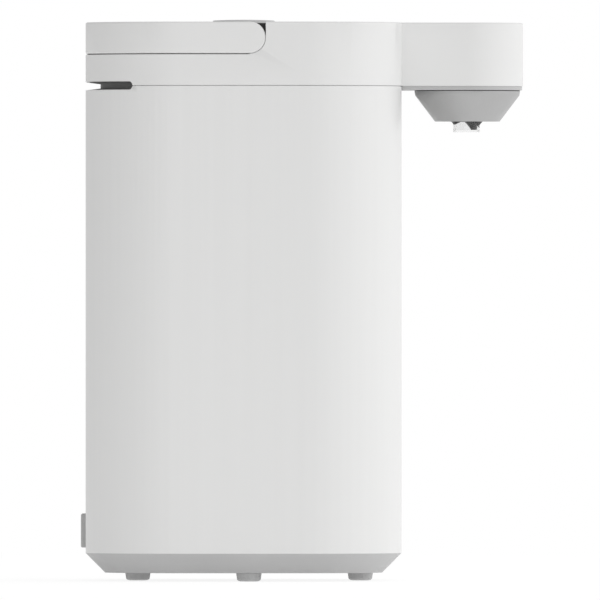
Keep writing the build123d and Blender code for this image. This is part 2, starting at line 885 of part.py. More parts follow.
# Steam vent insert: a dark channel behind the slot, with a chimney that the lid's duct feeds
vent_back = half_side - recess_depth - slot_skin
with BuildPart() as vent_insert:
    extrude(body_plan(chimney_low_z, wall + screw_slip), amount=2 * vent_half_height)
    extrude(
        body_plan(chimney_low_z, recess_depth + slot_skin),
        amount=2 * vent_half_height,
        mode=Mode.SUBTRACT,
    )
    with BuildSketch(Plane.XY.offset(chimney_low_z)):
        with Locations((vent_end_x - half_side / 2, 0)):
            Rectangle(half_side, 2 * half_side)
    extrude(amount=2 * vent_half_height, mode=Mode.INTERSECT)
    with BuildSketch(Plane.XY.offset(chimney_low_z)):
        with Locations((-vent_back + chimney_depth / 2 - slot_skin / 2, 0)):
            Rectangle(chimney_depth + slot_skin, 2 * chimney_half)
    extrude(amount=chimney_height)
    with BuildSketch(Plane.XY.offset(chimney_low_z + slot_skin)):
        with Locations((-vent_back + chimney_depth / 2, 0)):
            Rectangle(chimney_depth - slot_skin, 2 * (chimney_half - slot_skin))
    extrude(amount=chimney_height - 2 * slot_skin, mode=Mode.SUBTRACT)
    with BuildSketch(Plane.YZ.offset(-half_side + recess_depth - overrun)):
        with Locations((0, slot_z)):
            with GridLocations(slit_pitch, 1, slit_count, 1):
                Rectangle(slit_width, slit_height)
    extrude(amount=slot_skin + 2 * overrun, mode=Mode.SUBTRACT)
    with BuildSketch(Plane.YZ.offset(-vent_back + chimney_depth - slot_skin - overrun)):
        with Locations((0, duct_z)):
            Rectangle(2 * (duct_half - duct_wall), duct_height - 2 * duct_wall)
    extrude(amount=slot_skin + 2 * overrun, mode=Mode.SUBTRACT)
    add(slot_cutter.part, mode=Mode.SUBTRACT)
save(vent_insert.part, "vent_insert")

# Steam duct between the collar and the chimney
with BuildPart() as steam_duct:
    with BuildSketch(Plane.YZ.offset(-vent_back + chimney_depth)):
        with Locations((0, duct_z)):
            Rectangle(2 * duct_half, duct_height)
            Rectangle(
                2 * (duct_half - duct_wall), duct_height - 2 * duct_wall, mode=Mode.SUBTRACT
            )
    extrude(amount=vent_back - chimney_depth - neck_outer - screw_slip)
save(steam_duct.part, "steam_duct")

# Lid cover: a shallow dish with a hub for the button and a barrel on the hinge pin
with BuildPart() as lid_cover:
    extrude(disc(0, lid_low_z, lid_radius), amount=lid_plate)
    fillet(lid_cover.edges().group_by(Axis.Z)[-1], rim_round)
    with BuildSketch(Plane.XY.offset(lid_low_z)):
        with Locations(((hinge_x + hinge_root_length / 2), 0)):
            Rectangle(hinge_root_length - 2 * hinge_room, 2 * hinge_half)
        with Locations((hinge_x - half_side, 0)):
            Rectangle(2 * half_side, 2 * half_side, mode=Mode.SUBTRACT)
        with Locations((hinge_x - hinge_clear + hinge_root_length + half_side - hinge_room, 0)):
            Rectangle(2 * half_side, 2 * half_side, mode=Mode.SUBTRACT)
    extrude(amount=lid_plate)
    extrude(
        disc(0, lid_low_z, lid_radius - lid_rim), amount=lid_plate - lid_skin, mode=Mode.SUBTRACT
    )
    extrude(disc(0, hub_low_z, stem_radius + hub_wall), amount=hub_height)
    extrude(disc(0, hub_low_z, stem_radius + slip), amount=lid_plate, mode=Mode.SUBTRACT)
    extrude(spindle(hinge_x, hinge_z, hinge_radius), amount=hinge_half, both=True)
    extrude(
        spindle(hinge_x, hinge_z, hinge_pin_radius + pin_slip),
        amount=hinge_half,
        both=True,
        mode=Mode.SUBTRACT,
    )
save(lid_cover.part, "lid_cover")

# Hinge pin through the housing's blocks and the lid's barrel
with BuildPart() as hinge_pin:
    extrude(
        spindle(hinge_x, hinge_z, hinge_pin_radius),
        amount=hinge_clear_half + hinge_block - slip,
        both=True,
    )
save(hinge_pin.part, "hinge_pin")

# Lid plug: the drum that fills the well, with the tower that guides the button and the bolt
flange_reach = lid_radius - lid_rim - slip
plug_inner = plug_radius - plug_wall
plug_floor_top_z = plug_floor_z + plug_wall
with BuildPart() as lid_plug:
    with BuildSketch(Plane.XZ):
        with BuildLine():
            Polyline(
                (0, plug_floor_z),
                (plug_radius, plug_floor_z),
                (plug_radius, lid_low_z + slip),
                (flange_reach, lid_low_z + slip),
                (flange_reach, lid_under_z),
                (plug_flange_inner, lid_under_z),
                (plug_flange_inner, lid_low_z + slip),
                (plug_inner, lid_low_z + slip - plug_wall),
                (plug_inner, plug_floor_top_z),
                (0, plug_floor_top_z),
                close=True,
            )
        make_face()
    revolve(axis=Axis.Z)
    with BuildSketch(Plane.XY.offset(plug_floor_z)):
        Rectangle(tower_length, tower_width)
    extrude(amount=seat_z - plug_floor_z)
    with BuildSketch(Plane.XY.offset(plug_floor_z)):
        with Locations((guide_x, 0)):
            Rectangle(guide_length, tower_width)
    extrude(amount=bolt_z - slip - plug_floor_z)
    extrude(disc(0, plug_floor_top_z, stem_radius + slip), amount=plug_depth, mode=Mode.SUBTRACT)
    with BuildSketch(Plane.XY.offset(bolt_z - slip)):
        with Locations(((plug_radius - tower_length) / 2, 0)):
            Rectangle(plug_radius + tower_length + 2 * overrun, bolt_width + 2 * slip)
    extrude(amount=bolt_height + 2 * slip, mode=Mode.SUBTRACT)
    # Bosses for the inner plate's screws
    with BuildSketch(Plane.XY.offset(plate_low_z + inner_plate_wall)):
        with PolarLocations(lid_screw_circle, 4, start_angle=45):
            Circle(lid_boss_radius)
    extrude(amount=lid_screw_length + lid_boss_radius)
    with BuildSketch(Plane.XY.offset(plate_low_z)):
        with PolarLocations(lid_screw_circle, 4, start_angle=45):
            Circle(lid_screw_radius + screw_slip)
    extrude(amount=lid_screw_length + slip, mode=Mode.SUBTRACT)
    extrude(disc(valve_x, plug_floor_z, valve_radius + screw_slip), amount=plug_wall, mode=Mode.SUBTRACT)
    with BuildSketch(Plane.YZ.offset(-plug_radius - overrun)):
        with Locations((0, duct_z)):
            Circle(plug_vent_radius)
    extrude(amount=plug_wall + 2 * overrun, mode=Mode.SUBTRACT)
save(lid_plug.part, "lid_plug")

# Gasket ring under the plug, sealing on the tank's flange
with BuildPart() as lid_gasket:
    with BuildSketch(Plane.XZ):
        with BuildLine():
            Polyline(
                (gasket_inner, plug_floor_z),
                (gasket_inner, plug_floor_z - gasket_height / 2),
                (gasket_inner + gasket_height, plug_floor_z - gasket_height),
                (gasket_outer - gasket_height / 2, plug_floor_z - gasket_height),
                (gasket_outer, plug_floor_z - gasket_height / 2),
                (gasket_outer, plug_floor_z),
                close=True,
            )
        make_face()
    revolve(axis=Axis.Z)
save(lid_gasket.part, "lid_gasket")

# Inner lid plate, a pressed stainless dish
with BuildPart() as inner_plate:
    extrude(disc(0, plate_low_z, inner_plate_radius), amount=inner_plate_drop)
    fillet(inner_plate.edges().group_by(Axis.Z)[0], plate_edge_round)
    offset(
        amount=-inner_plate_wall, openings=inner_plate.faces().sort_by(Axis.Z)[-1]
    )
    with BuildSketch(Plane.XY.offset(plate_low_z)):
        with PolarLocations(lid_screw_circle, 4, start_angle=45):
            Circle(lid_screw_radius + screw_slip)
        with Locations((valve_x, 0)):
            Circle(valve_radius + screw_slip)
    extrude(amount=inner_plate_wall, mode=Mode.SUBTRACT)
save(inner_plate.part, "inner_lid_plate")

# Screws that hold the inner plate to the plug
with BuildPart() as lid_screws:
    with BuildSketch(Plane.XY.offset(plate_low_z - lid_screw_head_height)):
        with PolarLocations(lid_screw_circle, 4, start_angle=45):
            Circle(lid_screw_head)
    extrude(amount=lid_screw_head_height)
    fillet(lid_screws.edges().group_by(Axis.Z)[0], lid_screw_head_height / 2)
    with BuildSketch(Plane.XY.offset(plate_low_z)):
        with PolarLocations(lid_screw_circle, 4, start_angle=45):
            Circle(lid_screw_radius)
    extrude(amount=lid_screw_length)
save(lid_screws.part, "lid_screws")

# Steam valve: a tube through the plate and the plug's floor, with a slotted head
with BuildPart() as steam_valve:
    valve_top_z = plug_floor_top_z + valve_height
    extrude(disc(valve_x, plate_low_z, valve_radius), amount=valve_top_z - plate_low_z)
    extrude(disc(valve_x, plug_floor_top_z, valve_flange), amount=valve_flange_height)
    extrude(
        disc(valve_x, plate_low_z, valve_bore),
        amount=valve_top_z - plate_low_z - valve_flange_height,
        mode=Mode.SUBTRACT,
    )
    with BuildSketch(Plane.XY.offset(valve_top_z - valve_height / 2)):
        with Locations((valve_x, 0)):
            Rectangle(3 * valve_radius, valve_bore / 2)
            Rectangle(valve_bore / 2, 3 * valve_radius)
    extrude(amount=valve_height / 2 - valve_flange_height, mode=Mode.SUBTRACT)
save(steam_valve.part, "steam_valve")

# Push button: a domed cap on a stem, with a collar for the spring and a wedge for the bolt
with BuildPart() as lid_button:
    with BuildSketch(Plane.XZ) as button_profile:
        with BuildLine():
            cap_edge_z = button_low_z + button_rim
            wedge_low_z = wedge_top_z - stem_radius + wedge_tip
            Polyline(
                (button_radius, cap_edge_z),
                (button_radius, button_low_z),
                (stem_radius, button_low_z),
                (stem_radius, collar_top_z),
                (collar_radius, collar_top_z),
                (collar_radius, collar_low_z),
                (stem_radius, collar_low_z),
                (stem_radius, wedge_top_z),
                (wedge_tip, wedge_low_z),
                (0, wedge_low_z),
                (0, cap_edge_z + button_crown),
            )
            RadiusArc(
                (0, cap_edge_z + button_crown),
                (button_radius, cap_edge_z),
                (button_radius**2 + button_crown**2) / (2 * button_crown),
            )
        make_face()
        fillet(button_profile.vertices().group_by(Axis.X)[-1], button_edge)
    revolve(axis=Axis.Z)
save(lid_button.part, "lid_button")

# Button spring, an open coil between the tower and the collar
with BuildPart() as button_spring:
    spring_radius = (stem_radius + collar_radius) / 2
    coil_height = spring_length - spring_wire - 2 * spring_gap
    with BuildLine(Plane.XY.offset(seat_z + spring_gap + spring_wire / 2)):
        coil = Helix(coil_height / spring_turns, coil_height, spring_radius)
    with BuildSketch(Plane(origin=coil @ 0, z_dir=coil % 0)):
        Circle(spring_wire / 2)
    sweep(path=coil)
save(button_spring.part, "button_spring")

# Latch bolt: a flat bar with a bevelled nose and a window whose ramp the wedge pushes
with BuildPart() as latch_bolt:
    bolt_length = bolt_nose_x - bolt_tail_x
    with BuildSketch(Plane.XY.offset(bolt_z)):
        with Locations((bolt_tail_x + bolt_length / 2, 0)):
            Rectangle(bolt_length, bolt_width)
    extrude(amount=bolt_height)
    chamfer(latch_bolt.edges().group_by(Axis.X)[-1].group_by(Axis.Z)[0], nose_bevel)
    ramp_top_x = wedge_lead - stem_radius - wedge_gap
    ramp_low_x = ramp_top_x + bolt_height
    with BuildSketch(Plane.XZ):
        with BuildLine():
            Polyline(
                (ramp_low_x, bolt_z),
                (bolt_window_front, bolt_z),
                (bolt_window_front, bolt_top_z),
                (ramp_top_x, bolt_top_z),
                close=True,
            )
        make_face()
    extrude(amount=bolt_window / 2, both=True, mode=Mode.SUBTRACT)
save(latch_bolt.part, "latch_bolt")

# Tank: a deep-drawn stainless pot with an outlet stub, and its welded shoulder with a flanged neck
shoulder_run = liner_radius - neck_radius
shoulder_rise = neck_z - liner_shoulder_z
shoulder_shift = liner_wall * (math.hypot(shoulder_run, shoulder_rise) - shoulder_rise) / shoulder_run
inner_corner = liner_corner - liner_wall
inner_floor_z = liner_floor_z + liner_wall
flange_low_z = liner_top_z - liner_wall
with BuildPart() as vessel:
    with BuildSketch(Plane.XZ):
        with BuildLine():
            Line((0, liner_floor_z), (liner_radius - liner_corner, liner_floor_z))
            RadiusArc(
                (liner_radius - liner_corner, liner_floor_z),
                (liner_radius, liner_floor_z + liner_corner),
                -liner_corner,
            )
            Polyline(
                (liner_radius, liner_floor_z + liner_corner),
                (liner_radius, liner_shoulder_z),
                (neck_radius, neck_z),
                (neck_radius, flange_low_z),
                (flange_radius, flange_low_z),
                (flange_radius, liner_top_z),
                (neck_radius - liner_wall, liner_top_z),
                (neck_radius - liner_wall, neck_z - shoulder_shift),
                (liner_radius - liner_wall, liner_shoulder_z - shoulder_shift),
                (liner_radius - liner_wall, liner_floor_z + liner_corner),
            )
            RadiusArc(
                (liner_radius - liner_wall, liner_floor_z + liner_corner),
                (liner_radius - liner_corner, inner_floor_z),
                inner_corner,
            )
            Polyline(
                (liner_radius - liner_corner, inner_floor_z),
                (0, inner_floor_z),
                (0, liner_floor_z),
            )
        make_face()
        with Locations((liner_radius - liner_wall - fill_line_depth / 2, fill_line_z)):
            Rectangle(fill_line_depth, fill_line_height)
    revolve(axis=Axis.Z)
    extrude(disc(pump_x, liner_floor_z, outlet_bore + liner_wall), amount=-outlet_drop)
    extrude(
        disc(pump_x, liner_floor_z - outlet_drop, outlet_bore),
        amount=outlet_drop + liner_wall,
        mode=Mode.SUBTRACT,
    )
with BuildPart() as liner:
    add(vessel.part)
    split(bisect_by=Plane.XY.offset(liner_shoulder_z), keep=Keep.BOTTOM)
save(liner.part, "liner")
with BuildPart() as liner_shoulder:
    add(vessel.part)
    split(bisect_by=Plane.XY.offset(liner_shoulder_z), keep=Keep.TOP)
save(liner_shoulder.part, "liner_shoulder")

# Support frame: the plate that carries the tank, on four posts over the base's bosses
with BuildPart() as support_frame:
    with BuildSketch(Plane.XY.offset(deck_frame_low_z)):
        RectangleRounded(deck_side, deck_side, deck_corner)
        Circle(deck_hole, mode=Mode.SUBTRACT)
    extrude(amount=deck_plate)
    extrude(post_plan(boss_top, post_radius), amount=liner_floor_z - boss_top)
    extrude(
        post_plan(boss_top, base_screw_radius + screw_slip),
        amount=base_low_z + 2 * slip + screw_head_height + base_screw_length - boss_top,
        mode=Mode.SUBTRACT,
    )
save(support_frame.part, "support_frame")

# Heater plate under the tank, grooved for the ring element
heater_low_z = liner_floor_z - heater_height
element_z = heater_low_z - element_tube + element_bite
with BuildPart() as heater_plate:
    extrude(disc(heater_x, heater_low_z, heater_radius), amount=heater_height)
    with Locations((heater_x, 0, element_z)):
        Torus(element_radius, element_tube + screw_slip, mode=Mode.SUBTRACT)
save(heater_plate.part, "heater_plate")

# Ring element, an open loop with its ends bent down
with BuildPart() as heater_element:
    with BuildLine(Plane.XY.offset(element_z)):
        ring_path = CenterArc(
            (heater_x, 0), element_radius, start_angle=180 - element_arc / 2, arc_size=element_arc
        )
    with BuildSketch(Plane(origin=ring_path @ 0, z_dir=ring_path % 0)):
        Circle(element_tube)
    sweep(path=ring_path)
    for end in (0, 1):
        with BuildSketch(Plane.XY.offset(element_z)):
            with Locations(((ring_path @ end).X, (ring_path @ end).Y)):
                Circle(element_tube)
        extrude(amount=-2 * element_tube)
        with BuildSketch(Plane.XY.offset(element_z - 2 * element_tube)):
            with Locations(((ring_path @ end).X, (ring_path @ end).Y)):
                Rectangle(terminal_width, terminal_thickness)
        extrude(amount=-terminal_length)
save(heater_element.part, "heater_element")

# Thermostat on the heater plate
with BuildPart() as thermostat:
    extrude(disc(heater_x, heater_low_z, thermostat_radius), amount=-thermostat_height)
    fillet(thermostat.edges().group_by(Axis.Z)[0], rim_round)
    with BuildSketch(Plane.XY.offset(heater_low_z - thermostat_height)):
        with Locations((heater_x, 0)):
            with GridLocations(thermostat_radius, 1, 2, 1):
                Rectangle(terminal_thickness, terminal_width)
    extrude(amount=-terminal_length)
save(thermostat.part, "thermostat")

# Temperature sensor under the tank
with BuildPart() as sensor:
    with BuildSketch(Plane.XY.offset(liner_floor_z)):
        with Locations((sensor_x, sensor_y)):
            Circle(sensor_flange)
    extrude(amount=-sensor_flange_height)
    with BuildSketch(Plane.XY.offset(liner_floor_z)):
        with Locations((sensor_x, sensor_y)):
            Circle(sensor_radius)
    extrude(amount=-sensor_length)
    fillet(sensor.edges().group_by(Axis.Z)[0], rim_round)
save(sensor.part, "temperature_sensor")

# Warming band round the tank, open in front with two clamp ears
with BuildPart() as heater_band:
    with BuildSketch(Plane.XY.offset(band_low_z)):
        Circle(liner_radius + band_wall)
        for side in (1, -1):
            with Locations((band_ear_reach / 2, side * (band_opening + band_ear) / 2)):
                Rectangle(band_ear_reach, band_ear)
        Circle(liner_radius, mode=Mode.SUBTRACT)
        with Locations((liner_radius, 0)):
            Rectangle(liner_radius, band_opening, mode=Mode.SUBTRACT)
    extrude(amount=band_height)
save(heater_band.part, "heater_band")

# Pump motor, with its terminals at the side
with BuildPart() as motor:
    extrude(disc(pump_x, floor_z, motor_radius), amount=motor_height)
    chamfer(motor.edges().group_by(Axis.Z)[0], rim_round)
    with BuildSketch(Plane.XY.offset(floor_z + lip_height + terminal_length)):
        with Locations((pump_x - motor_radius - (terminal_length - terminal_root) / 2, 0)):
            with GridLocations(1, terminal_pitch, 1, 2):
                Rectangle(terminal_length + terminal_root, terminal_width)
    extrude(amount=terminal_thickness)
    extrude(
        disc(pump_x, motor_top_z - shaft_reach - slip, shaft_radius + pin_slip),
        amount=shaft_reach + slip,
        mode=Mode.SUBTRACT,
    )
save(motor.part, "motor")

# Pump housing: a round chamber with screw lugs and the outlet stub
stub_start_x = pump_x + volute_radius
with BuildPart() as pump_housing:
    with BuildSketch(Plane.XY.offset(volute_low_z)):
        with Locations((pump_x, 0)):
            Circle(volute_radius)
            with PolarLocations(lug_circle, 4, start_angle=45):
                Circle(lug_radius)
    extrude(amount=volute_height)
    with BuildSketch(Plane.YZ.offset(pump_x)):
        with Locations((0, pipe_z)):
            Circle(stub_radius)
    extrude(amount=volute_radius + stub_length)
    extrude(
        disc(pump_x, volute_low_z + volute_wall, volute_radius - volute_wall),
        amount=volute_height,
        mode=Mode.SUBTRACT,
    )
    extrude(disc(pump_x, volute_low_z, shaft_radius + pin_slip), amount=volute_wall, mode=Mode.SUBTRACT)
    with BuildSketch(Plane.YZ.offset(pump_x)):
        with Locations((0, pipe_z)):
            Circle(stub_bore)
    extrude(amount=volute_radius + stub_length, mode=Mode.SUBTRACT)
    with BuildSketch(Plane.YZ.offset(stub_start_x)):
        with Locations((0, pipe_z)):
            Circle(pipe_radius + pin_slip)
    extrude(amount=stub_length, mode=Mode.SUBTRACT)
    with BuildSketch(Plane.XY.offset(volute_top_z)):
        with Locations((pump_x, 0)):
            with PolarLocations(lug_circle, 4, start_angle=45):
                Circle(pump_screw_radius + pin_slip)
    extrude(amount=-pump_screw_length, mode=Mode.SUBTRACT)
save(pump_housing.part, "pump_housing")

# Pump cover with the inlet stub
with BuildPart() as pump_cover:
    with BuildSketch(Plane.XY.offset(volute_top_z)):
        with Locations((pump_x, 0)):
            Circle(volute_radius)
            with PolarLocations(lug_circle, 4, start_angle=45):
                Circle(lug_radius)
                Circle(pump_screw_radius + screw_slip, mode=Mode.SUBTRACT)
    extrude(amount=pump_cover_height)
    extrude(disc(pump_x, volute_top_z, stub_radius), amount=pump_cover_height + stub_length)
    extrude(
        disc(pump_x, volute_top_z, stub_bore),
        amount=pump_cover_height + stub_length,
        mode=Mode.SUBTRACT,
    )
save(pump_cover.part, "pump_cover")

# Screws of the pump cover
with BuildPart() as pump_screws:
    with BuildSketch(Plane.XY.offset(pump_top_z)):
        with Locations((pump_x, 0)):
            with PolarLocations(lug_circle, 4, start_angle=45):
                Circle(pump_screw_head)
    extrude(amount=pump_screw_head_height)
    with BuildSketch(Plane.XY.offset(pump_top_z)):
        with Locations((pump_x, 0)):
            with PolarLocations(lug_circle, 4, start_angle=45):
                Circle(pump_screw_radius)
    extrude(amount=-pump_screw_length)
save(pump_screws.part, "pump_screws")

# Impeller: a disc with curved blades round a hub
impeller_z = volute_low_z + volute_wall + impeller_lift
blade_curve = ThreePointArc(
    (hub_radius, 0),
    ((hub_radius + impeller_radius) / 2, blade_bow),
    (impeller_radius - blade_wall, 0),
)
with BuildPart() as impeller:
    extrude(disc(pump_x, impeller_z, impeller_radius), amount=impeller_plate)
    with BuildSketch(Plane.XY.offset(impeller_z + impeller_plate)):
        with Locations((pump_x, 0)):
            Circle(hub_radius)
            with PolarLocations(0, blade_count):
                SlotArc(blade_curve, blade_wall)
    extrude(amount=blade_height)
    extrude(
        disc(pump_x, impeller_z, shaft_radius),
        amount=impeller_plate + blade_height / 2,
        mode=Mode.SUBTRACT,
    )
save(impeller.part, "impeller")

# Motor shaft, up into the impeller's hub
with BuildPart() as motor_shaft:
    extrude(
        disc(pump_x, motor_top_z - shaft_reach, shaft_radius),
        amount=shaft_reach + volute_wall + impeller_lift + impeller_plate + blade_height / 2,
    )
save(motor_shaft.part, "motor_shaft")

# Hose from the tank's outlet stub down to the pump
with BuildPart() as inlet_hose:
    extrude(
        disc(pump_x, pump_top_z + slip, hose_radius), amount=liner_floor_z - pump_top_z - 2 * slip
    )
    extrude(
        disc(pump_x, pump_top_z + slip, stub_radius),
        amount=liner_floor_z - pump_top_z - 2 * slip,
        mode=Mode.SUBTRACT,
    )
save(inlet_hose.part, "inlet_hose")

# Riser tube, from the pump's outlet up behind the level window
with BuildPart() as riser_tube:
    with BuildLine(Plane.XZ):
        riser_path = FilletPolyline(
            (stub_start_x, pipe_z), (riser_x, pipe_z), (riser_x, coupler_z - slip), radius=pipe_bend
        )
    with BuildSketch(Plane.YZ.offset(stub_start_x)):
        with Locations((0, pipe_z)):
            Circle(pipe_radius)
            Circle(pipe_bore, mode=Mode.SUBTRACT)
    sweep(path=riser_path)
save(riser_tube.part, "riser_tube")

# Coupler sleeve between the riser and the spout pipe
with BuildPart() as riser_coupler:
    extrude(disc(riser_x, coupler_z - coupler_length / 2, coupler_radius), amount=coupler_length)
    extrude(
        disc(riser_x, coupler_z - coupler_length / 2, pipe_radius + pin_slip),
        amount=coupler_length,
        mode=Mode.SUBTRACT,
    )
save(riser_coupler.part, "riser_coupler")

# Spout pipe, over the head and down into the nozzle
with BuildPart() as spout_pipe:
    with BuildLine(Plane.XZ):
        spout_path = FilletPolyline(
            (riser_x, coupler_z),
            (riser_x, pipe_top_z),
            (funnel_centre_x, pipe_top_z),
            (funnel_centre_x, pipe_end_z),
            radius=pipe_bend,
        )
    with BuildSketch(Plane.XY.offset(coupler_z)):
        with Locations((riser_x, 0)):
            Circle(pipe_radius)
            Circle(pipe_bore, mode=Mode.SUBTRACT)
    sweep(path=spout_path)
save(spout_pipe.part, "spout_pipe")

# Cover plate that closes the spout head from below
with BuildPart() as spout_cover:
    extrude(head_plan(cover_low_z, half_side + slip, cover_inset), amount=cover_drop)
    extrude(
        head_plan(seam_z - root, half_side + slip, wall + slip), amount=lip_height + root
    )
    extrude(
        head_plan(seam_z, half_side + slip + lip_wall, wall + slip + lip_wall),
        amount=lip_height + overrun,
        mode=Mode.SUBTRACT,
    )
    extrude(
        disc(head_centre_x, cover_low_z, cone_spigot_radius + slip), amount=cover_drop, mode=Mode.SUBTRACT
    )
save(spout_cover.part, "spout_cover")

# Nozzle cone: a hollow cone under the cover plate, clipped through its hole
cone_slope = (cone_band_radius - cone_end_radius) / (cone_height - cone_band)
cone_inset = cone_wall * math.hypot(1, cone_slope)
cone_roof_z = cone_top_z - cone_wall
cone_plate_z = cone_low_z + cone_wall
with BuildPart() as nozzle_cone:
    with BuildSketch(Plane.XZ):
        with BuildLine():
            Polyline(
                (0, cone_low_z),
                (cone_end_radius, cone_low_z),
                (cone_band_radius, cone_top_z - cone_band),
                (cone_top_radius, cone_top_z),
                (cone_spigot_radius + cone_clip, cone_top_z),
                (cone_spigot_radius + cone_clip, cover_low_z),
                (cone_spigot_radius, cover_low_z),
                (cone_spigot_radius, seam_z + slip),
                (cone_spigot_radius + cone_clip, seam_z + slip),
                (cone_spigot_radius, seam_z + slip + cone_clip_height),
                (cone_spigot_radius - cone_wall, seam_z + slip + cone_clip_height),
                (cone_spigot_radius - cone_wall, cone_roof_z),
                (cone_end_radius + (cone_roof_z - cone_low_z) * cone_slope - cone_inset, cone_roof_z),
                (cone_end_radius + cone_wall * cone_slope - cone_inset, cone_plate_z),
                (0, cone_plate_z),
                close=True,
            )
        make_face()
    revolve(axis=Axis.Z)
    extrude(
        disc(tip_centre_x - head_centre_x, cone_low_z, tip_radius + screw_slip),
        amount=cone_wall,
        mode=Mode.SUBTRACT,
    )
save(nozzle_cone.part.moved(Location((head_centre_x, 0, 0))), "nozzle_cone")

# Clear nozzle tip: a flared cup round the funnel, with an outlet hole in its floor
with BuildPart() as nozzle_tip:
    tip_top_z = cone_low_z + tip_neck
    with BuildSketch(Plane.XZ):
        with BuildLine():
            Polyline(
                (0, tip_low_z), (tip_radius, tip_low_z), (tip_radius, cone_low_z - tip_flare_height)
            )
            TangentArc(
                (tip_radius, cone_low_z - tip_flare_height),
                (tip_radius + tip_flare, cone_low_z),
                tangent=(0, 1),
            )
            Polyline(
                (tip_radius + tip_flare, cone_low_z),
                (tip_radius, cone_low_z),
                (tip_radius, tip_top_z),
                (tip_inner, tip_top_z),
                (tip_inner, tip_low_z + tip_floor),
                (0, tip_low_z + tip_floor),
                (0, tip_low_z),
            )
        make_face()
    revolve(axis=Axis.Z)
    extrude(
        disc(funnel_centre_x - tip_centre_x, tip_low_z, funnel_end_bore + slip),
        amount=tip_floor,
        mode=Mode.SUBTRACT,
    )
save(nozzle_tip.part.moved(Location((tip_centre_x, 0, 0))), "nozzle_tip")

# Black funnel inside the tip, standing on its floor, with the pipe pushed in from above
with BuildPart() as nozzle_funnel:
    funnel_low_z = tip_low_z + tip_floor
    funnel_neck_z = cone_low_z - tip_flare_height / 2
    funnel_collar_z = cone_low_z + cone_wall + slip
    with BuildSketch(Plane.XZ):
        with BuildLine():
            Line((funnel_end_bore, funnel_low_z), (funnel_end_radius, funnel_low_z))
            TangentArc(
                (funnel_end_radius, funnel_low_z), (funnel_radius, funnel_neck_z), tangent=(0, 1)
            )
            Polyline(
                (funnel_radius, funnel_neck_z),
                (funnel_radius, funnel_collar_z),
                (funnel_socket_radius, funnel_collar_z),
                (funnel_socket_radius, funnel_top_z),
                (pipe_radius + pin_slip, funnel_top_z),
                (pipe_radius + pin_slip, pipe_end_z),
                (funnel_bore, pipe_end_z),
                (funnel_bore, funnel_neck_z),
                (funnel_end_bore, funnel_low_z),
            )
        make_face()
    revolve(axis=Axis.Z)
save(nozzle_funnel.part.moved(Location((funnel_centre_x, 0, 0))), "nozzle_funnel")

# Touch panel, flush in the top of the head
with BuildPart() as control_panel:
    extrude(panel_plan(rim_z - panel_thickness, panel_slip), amount=panel_thickness)
save(control_panel.part, "control_panel")

# Display board under the panel, with its digits block
with BuildPart() as display_board:
    with BuildSketch(Plane.XY.offset(rim_z - roof)):
        with Locations((display_centre_x, 0)):
            Rectangle(display_length, display_width)
    extrude(amount=-display_thickness)
    with BuildSketch(Plane.XY.offset(rim_z - roof)):
        with Locations((display_centre_x, 0)):
            Rectangle(digits_width, digits_length)
    extrude(amount=digits_height)
save(display_board.part, "display_board")

# Power board on the base, with its transformer, relay, capacitors and connectors
board_top_z = board_z + board_thickness
with BuildPart() as power_board:
    with BuildSketch(Plane.XY.offset(board_z)):
        with Locations((board_centre_x, 0)):
            Rectangle(board_length, board_width)
    extrude(amount=board_thickness)
    extrude(
        board_screw_plan(board_z, board_screw_radius + screw_slip),
        amount=board_thickness,
        mode=Mode.SUBTRACT,
    )
    with Locations((board_centre_x - board_length / 8, board_width / 8, board_top_z)):
        Box(*transformer_size, align=(Align.CENTER, Align.CENTER, Align.MIN))
    with Locations((board_centre_x - board_length / 8, -board_width / 6, board_top_z)):
        Box(*relay_size, align=(Align.CENTER, Align.CENTER, Align.MIN))
    with Locations((board_centre_x + board_length / 2 - connector_size[0], 0, board_top_z)):
        Box(*connector_size, align=(Align.CENTER, Align.CENTER, Align.MIN))
    capacitor_y = board_width / 2 - capacitor_radius - capacitor_edge
    for side in (1, -1):
        with Locations((board_centre_x + board_length / 4, side * capacitor_y, board_top_z)):
            Cylinder(
                capacitor_radius, capacitor_height, align=(Align.CENTER, Align.CENTER, Align.MIN)
            )
save(power_board.part, "power_board")

# Screws of the power board
with BuildPart() as board_screws:
    extrude(board_screw_plan(board_top_z, board_screw_head), amount=board_screw_head_height)
    extrude(board_screw_plan(board_top_z, board_screw_radius), amount=-board_screw_length)
save(board_screws.part, "board_screws")

# Bezel round the power inlet
with BuildPart() as inlet_bezel:
    with BuildSketch(Plane.YZ.offset(-half_side)):
        with Locations((0, bezel_centre_z)):
            RectangleRounded(bezel_width, bezel_height, bezel_corner)
            Rectangle(socket_width, socket_height, mode=Mode.SUBTRACT)
    extrude(amount=-bezel_proud)
    fillet(inlet_bezel.edges().group_by(Axis.X)[0], bezel_edge)
save(inlet_bezel.part, "inlet_bezel")

# Socket behind the bezel
with BuildPart() as inlet_socket:
    with BuildSketch(Plane.YZ.offset(-half_side)):
        with Locations((0, bezel_centre_z)):
            Rectangle(socket_width + 2 * socket_wall, socket_height + 2 * socket_wall)
    extrude(amount=socket_depth + socket_wall)
    with BuildSketch(Plane.YZ.offset(-half_side)):
        with Locations((0, bezel_centre_z)):
            Rectangle(socket_width, socket_height)
    extrude(amount=socket_depth, mode=Mode.SUBTRACT)
    with BuildSketch(Plane.YZ.offset(-half_side)):
        with Locations((0, bezel_centre_z)):
            with GridLocations(blade_pitch, 1, 2, 1):
                Circle(inlet_pin_radius)
    extrude(amount=socket_depth + socket_wall, mode=Mode.SUBTRACT)
save(inlet_socket.part, "inlet_socket")

